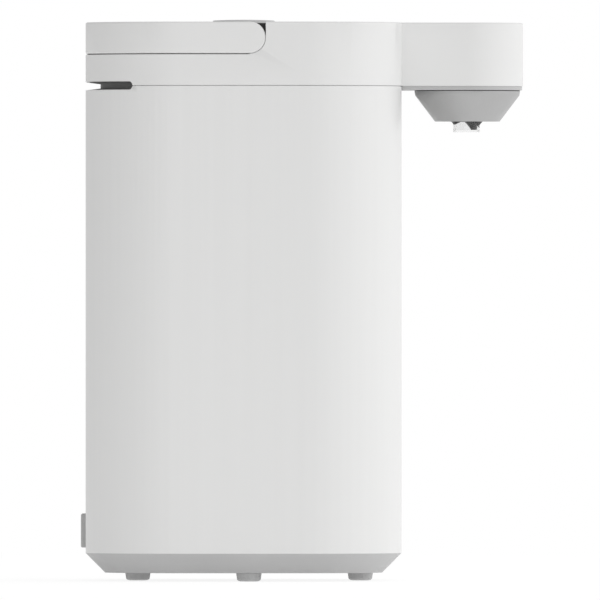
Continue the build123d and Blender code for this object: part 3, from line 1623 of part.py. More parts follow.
# Two round contact pins through the socket's back wall
with BuildPart() as inlet_pins:
    pin_start_x = -half_side + socket_depth - inlet_pin_length
    with BuildSketch(Plane.YZ.offset(pin_start_x)):
        with Locations((0, bezel_centre_z)):
            with GridLocations(blade_pitch, 1, 2, 1):
                Circle(inlet_pin_radius)
    extrude(amount=inlet_pin_length + 2 * socket_wall)
    fillet(inlet_pins.edges().group_by(Axis.X)[0], rim_round)
save(inlet_pins.part, "inlet_pins")
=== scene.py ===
"""Counter-top hot water dispenser: finishes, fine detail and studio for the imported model.

model.glb gives every piece its place. Metres, origin on the floor under the body's axis, +X to the spout.
"""

import math

import bmesh
import bpy
from mathutils import Matrix, Vector


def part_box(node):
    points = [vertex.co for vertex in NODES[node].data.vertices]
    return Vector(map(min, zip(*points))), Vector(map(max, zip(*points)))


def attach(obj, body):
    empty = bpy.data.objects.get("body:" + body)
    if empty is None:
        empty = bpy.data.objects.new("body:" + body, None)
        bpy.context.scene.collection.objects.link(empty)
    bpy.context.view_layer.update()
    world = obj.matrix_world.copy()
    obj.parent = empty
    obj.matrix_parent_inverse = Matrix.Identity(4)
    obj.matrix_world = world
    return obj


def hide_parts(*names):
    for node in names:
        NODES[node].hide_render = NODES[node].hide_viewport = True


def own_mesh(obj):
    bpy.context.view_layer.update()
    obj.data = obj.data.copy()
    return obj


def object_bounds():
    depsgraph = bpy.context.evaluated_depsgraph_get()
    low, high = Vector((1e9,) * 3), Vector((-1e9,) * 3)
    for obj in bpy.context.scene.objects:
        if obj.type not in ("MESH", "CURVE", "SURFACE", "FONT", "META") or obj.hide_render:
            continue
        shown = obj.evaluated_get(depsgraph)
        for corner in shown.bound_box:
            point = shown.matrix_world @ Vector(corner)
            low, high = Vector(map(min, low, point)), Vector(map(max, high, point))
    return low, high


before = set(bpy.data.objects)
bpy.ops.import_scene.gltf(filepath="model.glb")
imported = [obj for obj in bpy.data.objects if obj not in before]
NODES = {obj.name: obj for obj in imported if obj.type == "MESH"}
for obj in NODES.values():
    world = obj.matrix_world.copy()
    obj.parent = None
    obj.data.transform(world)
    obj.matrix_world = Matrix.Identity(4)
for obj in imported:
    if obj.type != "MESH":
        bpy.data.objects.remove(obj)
CAD_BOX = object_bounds()
MM = 0.001
WELD = 1e-6


def mm(*sizes):
    """Sizes in mm as metres."""
    return tuple(size * MM for size in sizes)


bl_info = {
    "name": "Hot water dispenser",
    "version": (1, 0, 0),
    "blender": (4, 5, 0),
    "location": "3D View > Sidebar > Dispenser",
    "description": "Dresses a counter-top hot water dispenser and sets up its studio",
    "category": "Add Mesh",
}


# Sizes and colours

def colour_prop(name, of_what, value):
    return bpy.props.FloatVectorProperty(
        name=name, description="Colour of " + of_what, subtype="COLOR",
        size=3, min=0.0, max=1.0, default=value,
    )


def number_prop(name, description, value, low, high, **more):
    kind = bpy.props.IntProperty if isinstance(value, int) else bpy.props.FloatProperty
    return kind(name=name, description=description, default=value, min=low, max=high, **more)


def length_prop(*values):
    return number_prop(*values, unit="LENGTH", precision=6)


class DispenserFinish(bpy.types.PropertyGroup):
    """Colours and surface sizes of the dispenser."""

    white: colour_prop("White", "the body and the top", (0.80, 0.80, 0.795))
    grey: colour_prop("Grey", "the base and the inlet's bezel", (0.48, 0.48, 0.48))
    plate: colour_prop("Cover plate", "the plate under the spout head", (0.5, 0.5, 0.5))
    cone: colour_prop("Cone", "the nozzle cone", (0.44, 0.44, 0.44))
    slate: colour_prop("Slate", "the steam slot's insert", (0.24, 0.24, 0.24))
    button: colour_prop("Button", "the push button", (0.55, 0.55, 0.55))
    foot: colour_prop("Feet", "the rubber feet", (0.62, 0.62, 0.62))
    # Dark plastic is also painted shade: it colours the handle's pivot plates and the ring in the cone's
    # gap.
    dark: colour_prop("Dark plastic", "the latch, the socket and the spout's rings", (0.03, 0.03, 0.03))
    grain: length_prop("Grain", "Size of the moulded grain", 0.00045, 0.0001, 0.002)
    grain_depth: length_prop("Grain depth", "Height of the moulded grain", 0.000006, 0.0, 0.0001)
    edges: number_prop("Edges", "Factor on the width of every edge rounding", 1.0, 0.2, 3.0)


class DispenserDetail(bpy.types.PropertyGroup):
    """Counts and sizes of what repeats."""

    tick_count: number_prop("Level marks", "Number of marks beside the level window", 11, 2, 41)
    tick_length: length_prop("Mark length", "Length of a short level mark", 0.0035, 0.001, 0.01)
    foot_rings: number_prop("Tread rings", "Rings moulded in a foot's tread", 3, 0, 6)
    key_count: number_prop("Touch keys", "Number of touch keys on the panel", 4, 1, 6)
    grip_count: number_prop("Grip ribs", "Ribs under the handle's bar", 19, 3, 41)
    coil_turns: number_prop("Spring turns", "Turns of the button's spring", 5.0, 2.0, 9.0)


class DispenserStudio(bpy.types.PropertyGroup):
    """Camera and light."""

    distance: length_prop("Camera distance", "From the camera to the body's axis", 17.0, 2.0, 17.5)
    frame_width: length_prop("Frame width", "What the picture covers at the body's axis", 0.3712, 0.2, 1.0)
    centre_x: length_prop("Centre X", "Middle of the picture along the body", 0.0348, -1.0, 1.0)
    centre_z: length_prop("Centre Z", "Middle of the picture above the floor", 0.1734, -1.0, 1.0)
    key_power: number_prop("Key lamp", "Power in watts of the lamp at the spout's side", 0.72, 0.0, 9.0)
    bright_side: number_prop("Bright side", "Strength of the light from before the spout", 1.16, 0.0, 2.0)
    dim_side: number_prop("Dim side", "Strength of the light from behind the body", 0.4, 0.0, 2.0)
    floor_light: number_prop("Floor light", "Strength of the light that the floor gives", 0.28, 0.0, 1.0)


# Materials

def wired(tree, kind, inputs=(), **settings):
    """Adds a node and returns its outputs. Inputs given as outputs are linked, others are set."""
    made = tree.nodes.new(kind)
    for label, value in settings.items():
        setattr(made, label, value)
    for label, value in dict(inputs).items():
        if isinstance(value, bpy.types.NodeSocket):
            tree.links.new(value, made.inputs[label])
        else:
            made.inputs[label].default_value = value
    return made.outputs


class Recipe:
    """A node material under construction, with the steps that most finishes share."""

    def __init__(self, name, colour, roughness, **sockets):
        self.material = bpy.data.materials.new(name)
        self.material.use_nodes = True
        self.tree = self.material.node_tree
        self.shader = self.tree.nodes["Principled BSDF"].inputs
        self.colour = tuple(colour)
        self.roughness = roughness
        self.shader["Base Color"].default_value = (*self.colour, 1.0)
        self.shader["Roughness"].default_value = roughness
        for label, value in sockets.items():
            self.shader[label.replace("_", " ")].default_value = value
        self.place = self.node("ShaderNodeTexCoord")["Object"]
        self.relief = None

    def node(self, kind, inputs=(), **settings):
        return wired(self.tree, kind, inputs, **settings)

    def feed(self, label, source):
        self.tree.links.new(source, self.shader[label])

    def mapped(self, scale):
        """Object coordinates stretched by a scale for each axis."""
        return self.node("ShaderNodeMapping", {"Vector": self.place, "Scale": scale})["Vector"]

    def noise(self, size, detail=3.0, scale=(1, 1, 1), roughness=0.5):
        """A noise whose features are about one size across."""
        return self.node("ShaderNodeTexNoise", {
            "Vector": self.mapped(scale), "Scale": 1.0 / size, "Detail": detail, "Roughness": roughness,
        })["Fac"]

    def cells(self, size, scale=(1, 1, 1)):
        """The distance from the middle of cells that are about one size across."""
        return self.node("ShaderNodeTexVoronoi", {
            "Vector": self.mapped(scale), "Scale": 1.0 / size,
        })["Distance"]

    def spread(self, source, low, high, start=0.3, end=0.7):
        """Maps a texture's middle range to a range of values."""
        return self.node("ShaderNodeMapRange", {
            "Value": source, "From Min": start, "From Max": end, "To Min": low, "To Max": high,
        })["Result"]

    def mix(self, factor, under, over):
        """Feeds the base colour with two colours, mixed by a factor."""
        mixed = self.node("ShaderNodeMix", {"Factor": factor, "A": under, "B": over}, data_type="RGBA")
        self.feed("Base Color", mixed["Result"])

    def tint(self, source, low, high):
        """Varies the base colour between two brightness factors."""
        dim, bright = ((*[min(c * share, 1.0) for c in self.colour], 1.0) for share in (low, high))
        self.mix(self.spread(source, 0.0, 1.0), dim, bright)

    def blotch(self, source, other, start, end):
        """Paints another colour over the tint where a texture is high."""
        under = self.shader["Base Color"].links[0].from_socket
        self.mix(self.spread(source, 0.0, 1.0, start, end), under, (*other, 1.0))

    def rough(self, source, less, more):
        """Varies the roughness below and above its own value."""
        self.feed("Roughness", self.spread(source, self.roughness - less, self.roughness + more))

    def bump(self, source, depth):
        """Adds a relief of a depth in metres, on top of any earlier relief."""
        earlier = {} if self.relief is None else {"Normal": self.relief}
        self.relief = self.node("ShaderNodeBump", {
            "Strength": 1.0, "Distance": depth, "Height": source, **earlier,
        })["Normal"]
        self.feed("Normal", self.relief)


def moulded(name, colour, roughness, grain, depth, tone=0.012):
    """Textured moulded plastic: spark grain, slow tone drift and faint flow marks."""
    recipe = Recipe(name, colour, roughness, Specular_IOR_Level=0.45)
    recipe.tint(recipe.noise(0.06), 1.0 - tone, 1.0 + tone)
    recipe.rough(recipe.noise(0.004, 4.0), 0.04, 0.05)
    recipe.bump(recipe.noise(0.035, 2.0), 0.00004)
    recipe.bump(recipe.noise(grain, roughness=0.65), depth)
    return recipe


def satin(name, colour, grain, depth):
    """Satin metallic paint: flakes under a soft clear skin."""
    recipe = Recipe(name, colour, 0.42, Metallic=0.7, Coat_Weight=0.1, Coat_Roughness=0.3)
    recipe.tint(recipe.cells(grain * 0.6), 0.97, 1.02)
    recipe.rough(recipe.noise(0.01), 0.03, 0.04)
    recipe.bump(recipe.noise(grain), depth * 0.6)
    return recipe


def enamel(name, colour, grain, depth):
    """Satin white paint on sheet steel, with a fine skin and faint upright drawing marks."""
    recipe = Recipe(name, colour, 0.34, Specular_IOR_Level=0.5, Coat_Weight=0.12, Coat_Roughness=0.25)
    recipe.tint(recipe.noise(0.004, scale=(1, 1, 0.012)), 0.992, 1.004)
    recipe.rough(recipe.noise(0.02), 0.03, 0.03)
    recipe.bump(recipe.noise(0.0028, 2.0), 0.000012)
    recipe.bump(recipe.noise(grain * 0.8, 2.0), depth * 0.5)
    return recipe


def brushed(name, colour, roughness, scale):
    """Brushed sheet metal, with strokes along the axis whose scale is small."""
    recipe = Recipe(name, colour, roughness, Metallic=1.0)
    strokes = recipe.noise(0.0006, 4.0, scale=scale, roughness=0.7)
    recipe.tint(strokes, 0.9, 1.06)
    recipe.rough(recipe.noise(0.0012, scale=scale), 0.07, 0.1)
    recipe.bump(strokes, 0.000004)
    recipe.bump(recipe.noise(0.04, 2.0), 0.00005)
    return recipe


def plated(name, colour, roughness):
    """Small plated metal parts, slightly stained."""
    recipe = Recipe(name, colour, roughness, Metallic=1.0)
    recipe.tint(recipe.noise(0.002, 4.0), 0.88, 1.05)
    recipe.rough(recipe.noise(0.0009), 0.06, 0.12)
    recipe.bump(recipe.noise(0.0004), 0.000005)
    return recipe


def rubber(name, colour, roughness=0.72):
    """Rubber with a dry, dusty skin and fine pores."""
    recipe = Recipe(
        name, colour, roughness, Specular_IOR_Level=0.3, Sheen_Weight=0.15, Sheen_Roughness=0.5,
    )
    recipe.tint(recipe.noise(0.003, 4.0), 0.94, 1.05)
    recipe.rough(recipe.noise(0.002), 0.08, 0.1)
    recipe.bump(recipe.cells(0.0006), 0.00001)
    recipe.bump(recipe.noise(0.0003), 0.000008)
    return recipe


def clear(name, colour, roughness, transmission, ior):
    """Clear moulded plastic with faint haze and flow ripples."""
    recipe = Recipe(
        name, colour, roughness, Transmission_Weight=transmission, IOR=ior, Specular_IOR_Level=0.5,
    )
    recipe.rough(recipe.noise(0.003), 0.03, 0.05)
    recipe.bump(recipe.noise(0.006, 2.0), 0.00002)
    return recipe


def silicone(name, colour, roughness=0.55):
    """Milky soft silicone."""
    recipe = Recipe(
        name, colour, roughness, Subsurface_Weight=0.25, Subsurface_Scale=0.002,
        Subsurface_Radius=(1.0, 1.0, 1.0), Specular_IOR_Level=0.4,
    )
    recipe.tint(recipe.noise(0.006), 0.97, 1.03)
    recipe.rough(recipe.noise(0.003), 0.07, 0.08)
    recipe.bump(recipe.noise(0.0009), 0.00001)
    return recipe


def circuit(name, colour):
    """Circuit board lacquer with tracks and pads under it."""
    recipe = Recipe(name, colour, 0.35, Coat_Weight=0.4, Coat_Roughness=0.15)
    recipe.tint(recipe.noise(0.01), 0.9, 1.1)
    tracks = recipe.node("ShaderNodeTexBrick", {
        "Vector": recipe.mapped((1, 1, 0)), "Scale": 120.0, "Mortar Size": 0.06, "Mortar Smooth": 0.2,
    }, offset=0.35, squash=0.7, squash_frequency=3)["Fac"]
    recipe.blotch(tracks, [min(c * 1.9 + 0.02, 1.0) for c in colour], 0.2, 0.8)
    pads = recipe.cells(0.0042, scale=(1, 1, 0))
    recipe.blotch(recipe.spread(pads, 1.0, 0.0, 0.10, 0.16), (0.62, 0.6, 0.52), 0.4, 0.6)
    recipe.bump(tracks, 0.00003)
    return recipe


def mica(name, colour):
    """Mica and glass cloth in a foil sleeve: flakes and a woven relief."""
    recipe = Recipe(name, colour, 0.5, Specular_IOR_Level=0.6)
    recipe.tint(recipe.cells(0.006, scale=(1, 1, 0.6)), 0.8, 1.15)
    recipe.rough(recipe.noise(0.002, 4.0), 0.15, 0.15)
    cloth = 0.0012
    weave = recipe.node("ShaderNodeTexWave", {
        "Vector": recipe.place, "Scale": 1.0 / cloth / 3.0, "Distortion": 0.4,
    }, bands_direction="Z")["Fac"]
    recipe.bump(weave, 0.00003)
    recipe.bump(recipe.noise(0.0015, 4.0), 0.00003)
    return recipe


def glossy_panel(name, colour):
    """Smoked glossy panel with fine polishing haze."""
    recipe = Recipe(name, colour, 0.08, Coat_Weight=1.0, Coat_Roughness=0.03, Specular_IOR_Level=0.6)
    recipe.rough(recipe.noise(0.012, 4.0), 0.03, 0.05)
    recipe.tint(recipe.noise(0.05, 2.0), 0.9, 1.1)
    recipe.bump(recipe.noise(0.03, 2.0), 0.00001)
    return recipe


def printed(name, colour):
    """Printed ink, a little uneven."""
    recipe = Recipe(name, colour, 0.5)
    recipe.tint(recipe.noise(0.0006), 0.94, 1.04)
    recipe.rough(recipe.noise(0.0008, 2.0), 0.08, 0.08)
    recipe.bump(recipe.noise(0.0003, 2.0), 0.000003)
    return recipe


def material_of(name):
    """The finish of a name, made at the first call and found again at later ones."""
    found = bpy.data.materials.get(name)
    if found is not None:
        return found
    finish = bpy.context.scene.dispenser_finish
    white, grain, depth = finish.white, finish.grain, finish.grain_depth
    maker, *values = {
        "Body enamel": (enamel, white, grain, depth),
        "White moulding": (moulded, white, 0.4, grain, depth),
        "Natural moulding": (moulded, [c * 0.85 for c in white], 0.48, grain, depth, 0.03),
        "Grey moulding": (moulded, finish.grey, 0.46, grain, depth * 1.4, 0.03),
        "Plate moulding": (moulded, finish.plate, 0.42, grain, depth * 1.2, 0.02),
        "Cone satin": (satin, finish.cone, grain, depth),
        "Slate moulding": (moulded, finish.slate, 0.5, grain, depth, 0.2),
        # Also painted shade, on the pivot plates and the ring in the cone's gap.
        "Dark moulding": (moulded, finish.dark, 0.5, grain, depth, 0.2),
        "Black moulding": (moulded, (0.008, 0.008, 0.008), 0.4, grain, depth, 0.2),
        "Button gloss": (moulded, finish.button, 0.34, grain, depth * 0.25, 0.02),
        "Foot rubber": (rubber, finish.foot),
        "Milky silicone": (silicone, (0.74, 0.74, 0.72)),
        "Clear tip": (clear, (0.9, 0.9, 0.9), 0.06, 1.0, 1.35),
        "Clear window": (clear, (0.9, 0.92, 0.93), 0.06, 0.85, 1.49),
        "Drawn stainless": (brushed, (0.62, 0.61, 0.6), 0.3, (1, 1, 0.03)),
        "Pressed stainless": (brushed, (0.64, 0.63, 0.62), 0.26, (1, 0.03, 1)),
        "Plated steel": (plated, (0.56, 0.55, 0.54), 0.3),
        "Motor can": (brushed, (0.5, 0.5, 0.49), 0.36, (1, 1, 0.05)),
        "Spring steel": (plated, (0.42, 0.41, 0.4), 0.28),
        "Cast aluminium": (plated, (0.6, 0.6, 0.6), 0.5),
        "Nickel brass": (plated, (0.72, 0.66, 0.5), 0.25),
        "Mica sleeve": (mica, (0.5, 0.42, 0.27)),
        "Board lacquer": (circuit, (0.01, 0.085, 0.035)),
        "Smoked panel": (glossy_panel, (0.008, 0.008, 0.009)),
        "Panel print": (printed, (0.72, 0.72, 0.72)),
        "Level print": (printed, (0.2, 0.2, 0.2)),
    }[name]
    return maker(name, *values).material


# Mesh help

def paint(node, label):
    """Gives a carried-over piece its finish."""
    slots = NODES[node].data.materials
    slots.clear()
    slots.append(material_of(label))


def new_object(name, mesh, label):
    made = bpy.data.objects.new(name, mesh)
    bpy.context.scene.collection.objects.link(made)
    mesh.materials.clear()
    mesh.materials.append(material_of(label))
    return made


def smooth(mesh, crease=30.0):
    """Shades a mesh smoothly up to a crease in degrees."""
    mesh.shade_smooth()
    mesh.set_sharp_from_angle(angle=math.radians(crease))


def stand_in(made, node, body="body"):
    """Puts a piece in a node's place, on the node's body."""
    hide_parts(node)
    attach(made, body)


def refined(node, label, width, body="body", levels=()):
    """Puts a welded copy of a piece, with edges rounded to a width in mm, in the piece's place.

    Its upright faces are divided at the levels, so that a cut's corners shade only what is near.
    """
    flatness, crease = 0.5, 32.0
    mesh = NODES[node].data.copy()
    mesh.name = node + "_surface"
    work = bmesh.new()
    work.from_mesh(mesh)
    bmesh.ops.remove_doubles(work, verts=work.verts, dist=2 * WELD)
    bmesh.ops.dissolve_limit(
        work, angle_limit=math.radians(flatness), verts=work.verts, edges=work.edges,
    )
    for level in levels:
        bmesh.ops.bisect_plane(
            work, geom=[*work.verts, *work.edges, *work.faces], dist=WELD,
            plane_co=(0, 0, level), plane_no=(0, 0, 1),
        )
    work.to_mesh(mesh)
    work.free()
    made = new_object(node + "_fine", mesh, label)
    smooth(mesh, crease)
    bevel = made.modifiers.new("Edge rounding", "BEVEL")
    bevel.width = width * MM * bpy.context.scene.dispenser_finish.edges
    bevel.segments = 2
    bevel.angle_limit = math.radians(crease)
    bevel.harden_normals = True
    stand_in(made, node, body)


def settled(work, name, label):
    """Ends mesh work in an object with smooth shading, welded and with its faces turned outwards."""
    bmesh.ops.remove_doubles(work, verts=work.verts, dist=WELD)
    bmesh.ops.recalc_face_normals(work, faces=work.faces)
    mesh = bpy.data.meshes.new(name)
    work.to_mesh(mesh)
    work.free()
    made = new_object(name, mesh, label)
    smooth(mesh)
    return made


def loop_of(work, steps, radius, level, centre_x=0.0):
    """A level circle of vertices."""
    return [
        work.verts.new((centre_x + radius * math.cos(angle), radius * math.sin(angle), level))
        for angle in (math.tau * i / steps for i in range(steps))
    ]


def pairs(loop):
    """Each vertex of a closed loop with the next one."""
    return list(zip(loop, loop[1:] + loop[:1]))


def skin(work, loops):
    """Joins each loop of vertices to the next one by a band of faces."""
    for lower, upper in zip(loops, loops[1:]):
        for (a, b), (d, c) in zip(pairs(lower), pairs(upper)):
            work.faces.new((a, b, c, d))


def lathe(name, profile, label, steps=64, centre_x=0.0):
    """Turns a profile of radius, height and maybe a shift along X round an upright axis."""
    work = bmesh.new()
    skin(work, [
        loop_of(work, steps, radius, height, centre_x + sum(shift)) for radius, height, *shift in profile
    ])
    return settled(work, name, label)


def flat_shapes(name, outlines, level, label):
    """Level faces that look upwards, one in each anticlockwise outline of (x, y) points."""
    work = bmesh.new()
    for outline in outlines:
        work.faces.new([work.verts.new((x, y, level)) for x, y in outline])
    return settled(work, name, label)


def oblong(x, y, length, width):
    """A rectangle's outline, with its length along X and its width along Y."""
    ends = ((-0.5, -0.5), (0.5, -0.5), (0.5, 0.5), (-0.5, 0.5))
    return [(x + length * along, y + width * across) for along, across in ends]


def round_box(node):
    """The middle along X, the radius, and the lowest and highest level of a round upright piece."""
    low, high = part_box(node)
    return (low.x + high.x) / 2, (high.x - low.x) / 2, low.z, high.z


def quarter(steps):
    """The cosine and sine of each step of a quarter turn, from its start to its end."""
    angles = [i / steps * math.pi / 2 for i in range(steps + 1)]
    return [(math.cos(angle), math.sin(angle)) for angle in angles]


def centred(count, pitch):
    """Evenly spaced places on both sides of zero."""
    return [(i - (count - 1) / 2) * pitch for i in range(count)]


# Geometry layouts

class Layout:
    """A geometry tree with named inputs, which ends in real copies."""

    def __init__(self, name, **inputs):
        self.tree = bpy.data.node_groups.new(name, "GeometryNodeTree")
        face = self.tree.interface
        face.new_socket("Geometry", in_out="OUTPUT", socket_type="NodeSocketGeometry")
        for label, kind in {"Geometry": "Geometry", **inputs}.items():
            face.new_socket(label.replace("_", " "), in_out="INPUT", socket_type="NodeSocket" + kind)
        self.given = self.node("NodeGroupInput")

    def node(self, kind, inputs=(), **settings):
        return wired(self.tree, kind, inputs, **settings)

    def close(self, geometry):
        real = self.node("GeometryNodeRealizeInstances", {"Geometry": geometry})["Geometry"]
        self.node("NodeGroupOutput", {"Geometry": real})
        return self.tree


def copies_on_points(name):
    """Copies one object onto every point, each turned by a seeded random angle about Z."""
    layout = Layout(name, Piece="Object", Turn_spread="Float", Seed="Int")
    given = layout.given
    piece = layout.node("GeometryNodeObjectInfo", {"Object": given["Piece"], "As Instance": True})
    turn = layout.node("FunctionNodeRandomValue", {
        "Min": 0.0, "Max": given["Turn spread"], "Seed": given["Seed"],
    }, data_type="FLOAT")
    spin = layout.node("ShaderNodeCombineXYZ", {"Z": turn["Value"]})
    return layout.close(layout.node("GeometryNodeInstanceOnPoints", {
        "Points": given["Geometry"], "Instance": piece["Geometry"], "Rotation": spin["Vector"],
    })["Instances"])


def bars_on_points(name):
    """Rows of small bars: every point gets a box, and each fifth one is longer along Y."""
    layout = Layout(name, Bar_size="Vector", Long_factor="Float")
    given = layout.given
    index = layout.node("GeometryNodeInputIndex")["Index"]
    fifth = layout.node("ShaderNodeMath", {0: index, 1: 5.0}, operation="MODULO")["Value"]
    first = layout.node(
        "FunctionNodeCompare", {"A": fifth, "B": 0.5}, data_type="FLOAT", operation="LESS_THAN",
    )["Result"]
    reach = layout.node(
        "GeometryNodeSwitch", {"Switch": first, "False": 1.0, "True": given["Long factor"]},
        input_type="FLOAT",
    )["Output"]
    size = layout.node("ShaderNodeCombineXYZ", {"X": 1.0, "Y": reach, "Z": 1.0})["Vector"]
    bar = layout.node("GeometryNodeMeshCube", {"Size": given["Bar size"]})["Mesh"]
    return layout.close(layout.node("GeometryNodeInstanceOnPoints", {
        "Points": given["Geometry"], "Instance": bar, "Scale": size,
    })["Instances"])


def wire_coil(name):
    """A round wire wound into a plain coil with open ends."""
    layout = Layout(name, Turns="Float", Coil_radius="Float", Coil_height="Float", Wire_radius="Float")
    given = layout.given
    path = layout.node("GeometryNodeCurveSpiral", {
        "Resolution": 36, "Rotations": given["Turns"], "Height": given["Coil height"],
        "Start Radius": given["Coil radius"], "End Radius": given["Coil radius"],
    })["Curve"]
    section = layout.node("GeometryNodeCurvePrimitiveCircle", {
        "Resolution": 14, "Radius": given["Wire radius"],
    })["Curve"]
    return layout.close(layout.node("GeometryNodeCurveToMesh", {
        "Curve": path, "Profile Curve": section, "Fill Caps": True,
    })["Mesh"])


def baked(name, label, make_layout, values, points=((0, 0, 0),)):
    """Runs a layout over a set of points and returns a plain mesh object at the origin."""
    group = make_layout.__name__
    tree = bpy.data.node_groups.get(group) or make_layout(group)
    start = bpy.data.meshes.new(name + "_points")
    start.from_pydata(points, [], [])
    host = bpy.data.objects.new(name + "_host", start)
    bpy.context.scene.collection.objects.link(host)
    modifier = host.modifiers.new("Layout", "NODES")
    modifier.node_group = tree
    for item in tree.interface.items_tree:
        if item.in_out == "INPUT" and item.name in values:
            modifier[item.identifier] = values[item.name]
    bpy.context.view_layer.update()
    graph = bpy.context.evaluated_depsgraph_get()
    mesh = bpy.data.meshes.new_from_object(host.evaluated_get(graph))
    mesh.name = name
    bpy.data.objects.remove(host)
    made = new_object(name, mesh, label)
    smooth(mesh)
    return made


def scattered(name, piece, points, spread=0.0, seed=7):
    """One copy of a piece on every point, as one plain mesh; the single piece is removed."""
    made = baked(name, piece.active_material.name, copies_on_points, {
        "Piece": piece, "Turn spread": spread, "Seed": seed,
    }, points)
    bpy.data.objects.remove(piece)
    return made


# Pieces

class Piece:
    """What every operator of this file shares.

    The rows of fine give a node, its finish, the width of its edge rounding in mm and, where it moves,
    its body. The rows of plain give a node and its finish. New pieces come from add.
    """

    bl_options = {"REGISTER", "UNDO"}
    fine = ()
    plain = ()

    def execute(self, context):
        for row in self.fine:
            refined(*row)
        for row in self.plain:
            paint(*row)
        self.add(context.scene.dispenser_detail)
        return {"FINISHED"}

    def add(self, detail):
        """Adds nothing more."""


class DISPENSER_OT_body(Piece, bpy.types.Operator):
    """Finish the shell, the top, the base and the collar"""

    bl_idname = "dispenser.body"
    bl_label = "Body"

    def add(self, detail):
        """Divides the shell and the top below and above the steam slot that is cut in their seam."""
        seam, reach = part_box("outer_shell")[1].z, 4.6 * MM
        refined("outer_shell", "Body enamel", 0.15, levels=(seam - reach,))
        refined("top_housing", "White moulding", 0.15, levels=(seam + reach,))
        refined("base_cover", "Grey moulding", 0.6)
        refined("fill_neck", "White moulding", 0.3)


class DISPENSER_OT_handle(Piece, bpy.types.Operator):
    """Finish the carrying handle and put grip ribs under its bar"""

    bl_idname = "dispenser.handle"
    bl_label = "Handle"
    fine = (
        ("handle", "White moulding", 0.2, "carrying_handle"),
        # The pivot plates are dark as painted shade, standing in for the shadow in the gap at the handle's
        # ends.
        ("pivot_plates", "Dark moulding", 0.1),
    )
    plain = (("handle_pivots", "Plated steel"),)

    def add(self, detail):
        """Ribs across the bar, which runs along the handle's rear end."""
        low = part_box("handle")[0]
        inset, sunk, pitch = mm(4.45, 0.02, 5)
        ribs = baked("handle_grip_ribs", "White moulding", bars_on_points, {
            "Bar size": mm(6.2, 1.8, 0.5), "Long factor": 1.0,
        }, [(low.x + inset, y, low.z + sunk) for y in centred(detail.grip_count, pitch)])
        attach(ribs, "carrying_handle")


class DISPENSER_OT_lid(Piece, bpy.types.Operator):
    """Finish the lid, its plug, gasket, inner plate, valve and hinge pin"""

    bl_idname = "dispenser.lid"
    bl_label = "Lid"
    fine = (
        ("lid_cover", "White moulding", 0.3, "lid"),
        ("lid_plug", "Natural moulding", 0.4, "lid"),
        ("inner_lid_plate", "Pressed stainless", 0.15, "lid"),
        ("steam_valve", "Milky silicone", 0.2, "lid"),
    )
    plain = (("hinge_pin", "Plated steel"),)

    def add(self, detail):
        """A lip seal: a ring with beads at its edges and its middle, and grooves between them."""
        low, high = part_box("lid_gasket")
        inside, width = mm(0.02, 5.4)
        relief, count = 0.55, 22
        outer, top, bottom = high.x - inside, high.z, low.z + inside
        inner = outer - width
        profile = [(outer, top)]
        for i in range(count + 1):
            part = i / count
            wave = 0.5 - 0.5 * math.cos(part * 4 * math.pi)
            profile.append((outer - width * part, bottom + (top - bottom) * relief * (1 - wave)))
        profile += [(inner, top), (outer, top)]
        ring = lathe("lid_gasket_seal", profile, "Milky silicone", steps=160)
        stand_in(ring, "lid_gasket", "lid")


class DISPENSER_OT_button(Piece, bpy.types.Operator):
    """Finish the push button and the latch bolt, and wind the spring"""

    bl_idname = "dispenser.button"
    bl_label = "Push button"

    def add(self, detail):
        self.cap()
        refined("latch_bolt", "Dark moulding", 0.2, "latch")
        middle, radius, low, high = round_box("button_spring")
        wire, travel = mm(0.6, 1.8)
        coil = baked("button_spring_coil", "Spring steel", wire_coil, {
            "Turns": detail.coil_turns, "Coil radius": radius - wire, "Coil height": high - low - 2 * wire,
            "Wire radius": wire,
        })
        coil.data.transform(Matrix.Translation((middle, 0, low + wire)))
        stand_in(coil, "button_spring", "lid")
        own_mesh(coil)

    def cap(self):
        """The domed cap and its stem, turned with a fine edge round its crown."""
        _, radius, low, high = round_box("lid_button")
        stem, collar, wedge_tip, fine, turn = mm(5, 7.4, 0.6, 0.3, 0.5)
        crown, side, collar_drop, collar_height = mm(0.5, 2.6, 6.3, 1.5)
        turn_steps, crown_steps = 6, 24
        edge = high - crown
        under = edge - side
        collar_top = under - collar_drop
        collar_low = collar_top - collar_height
        rim = radius - turn
        profile = [(0.0, low), (wedge_tip, low), (stem, low + stem - wedge_tip)]
        profile += [(stem, collar_low), (collar, collar_low), (collar, collar_top), (stem, collar_top)]
        profile += [(stem, under), (radius - fine, under), (radius, under + fine), (radius, edge - turn)]
        for across, up in quarter(turn_steps)[1:]:
            profile.append((rim + turn * across, edge - turn + turn * up))
        for i in range(1, crown_steps + 1):
            part = 1 - i / crown_steps
            profile.append((rim * part, high - crown * part ** 2))
        made = lathe("lid_button_cap", profile, "Button gloss", steps=128)
        stand_in(made, "lid_button", "button")


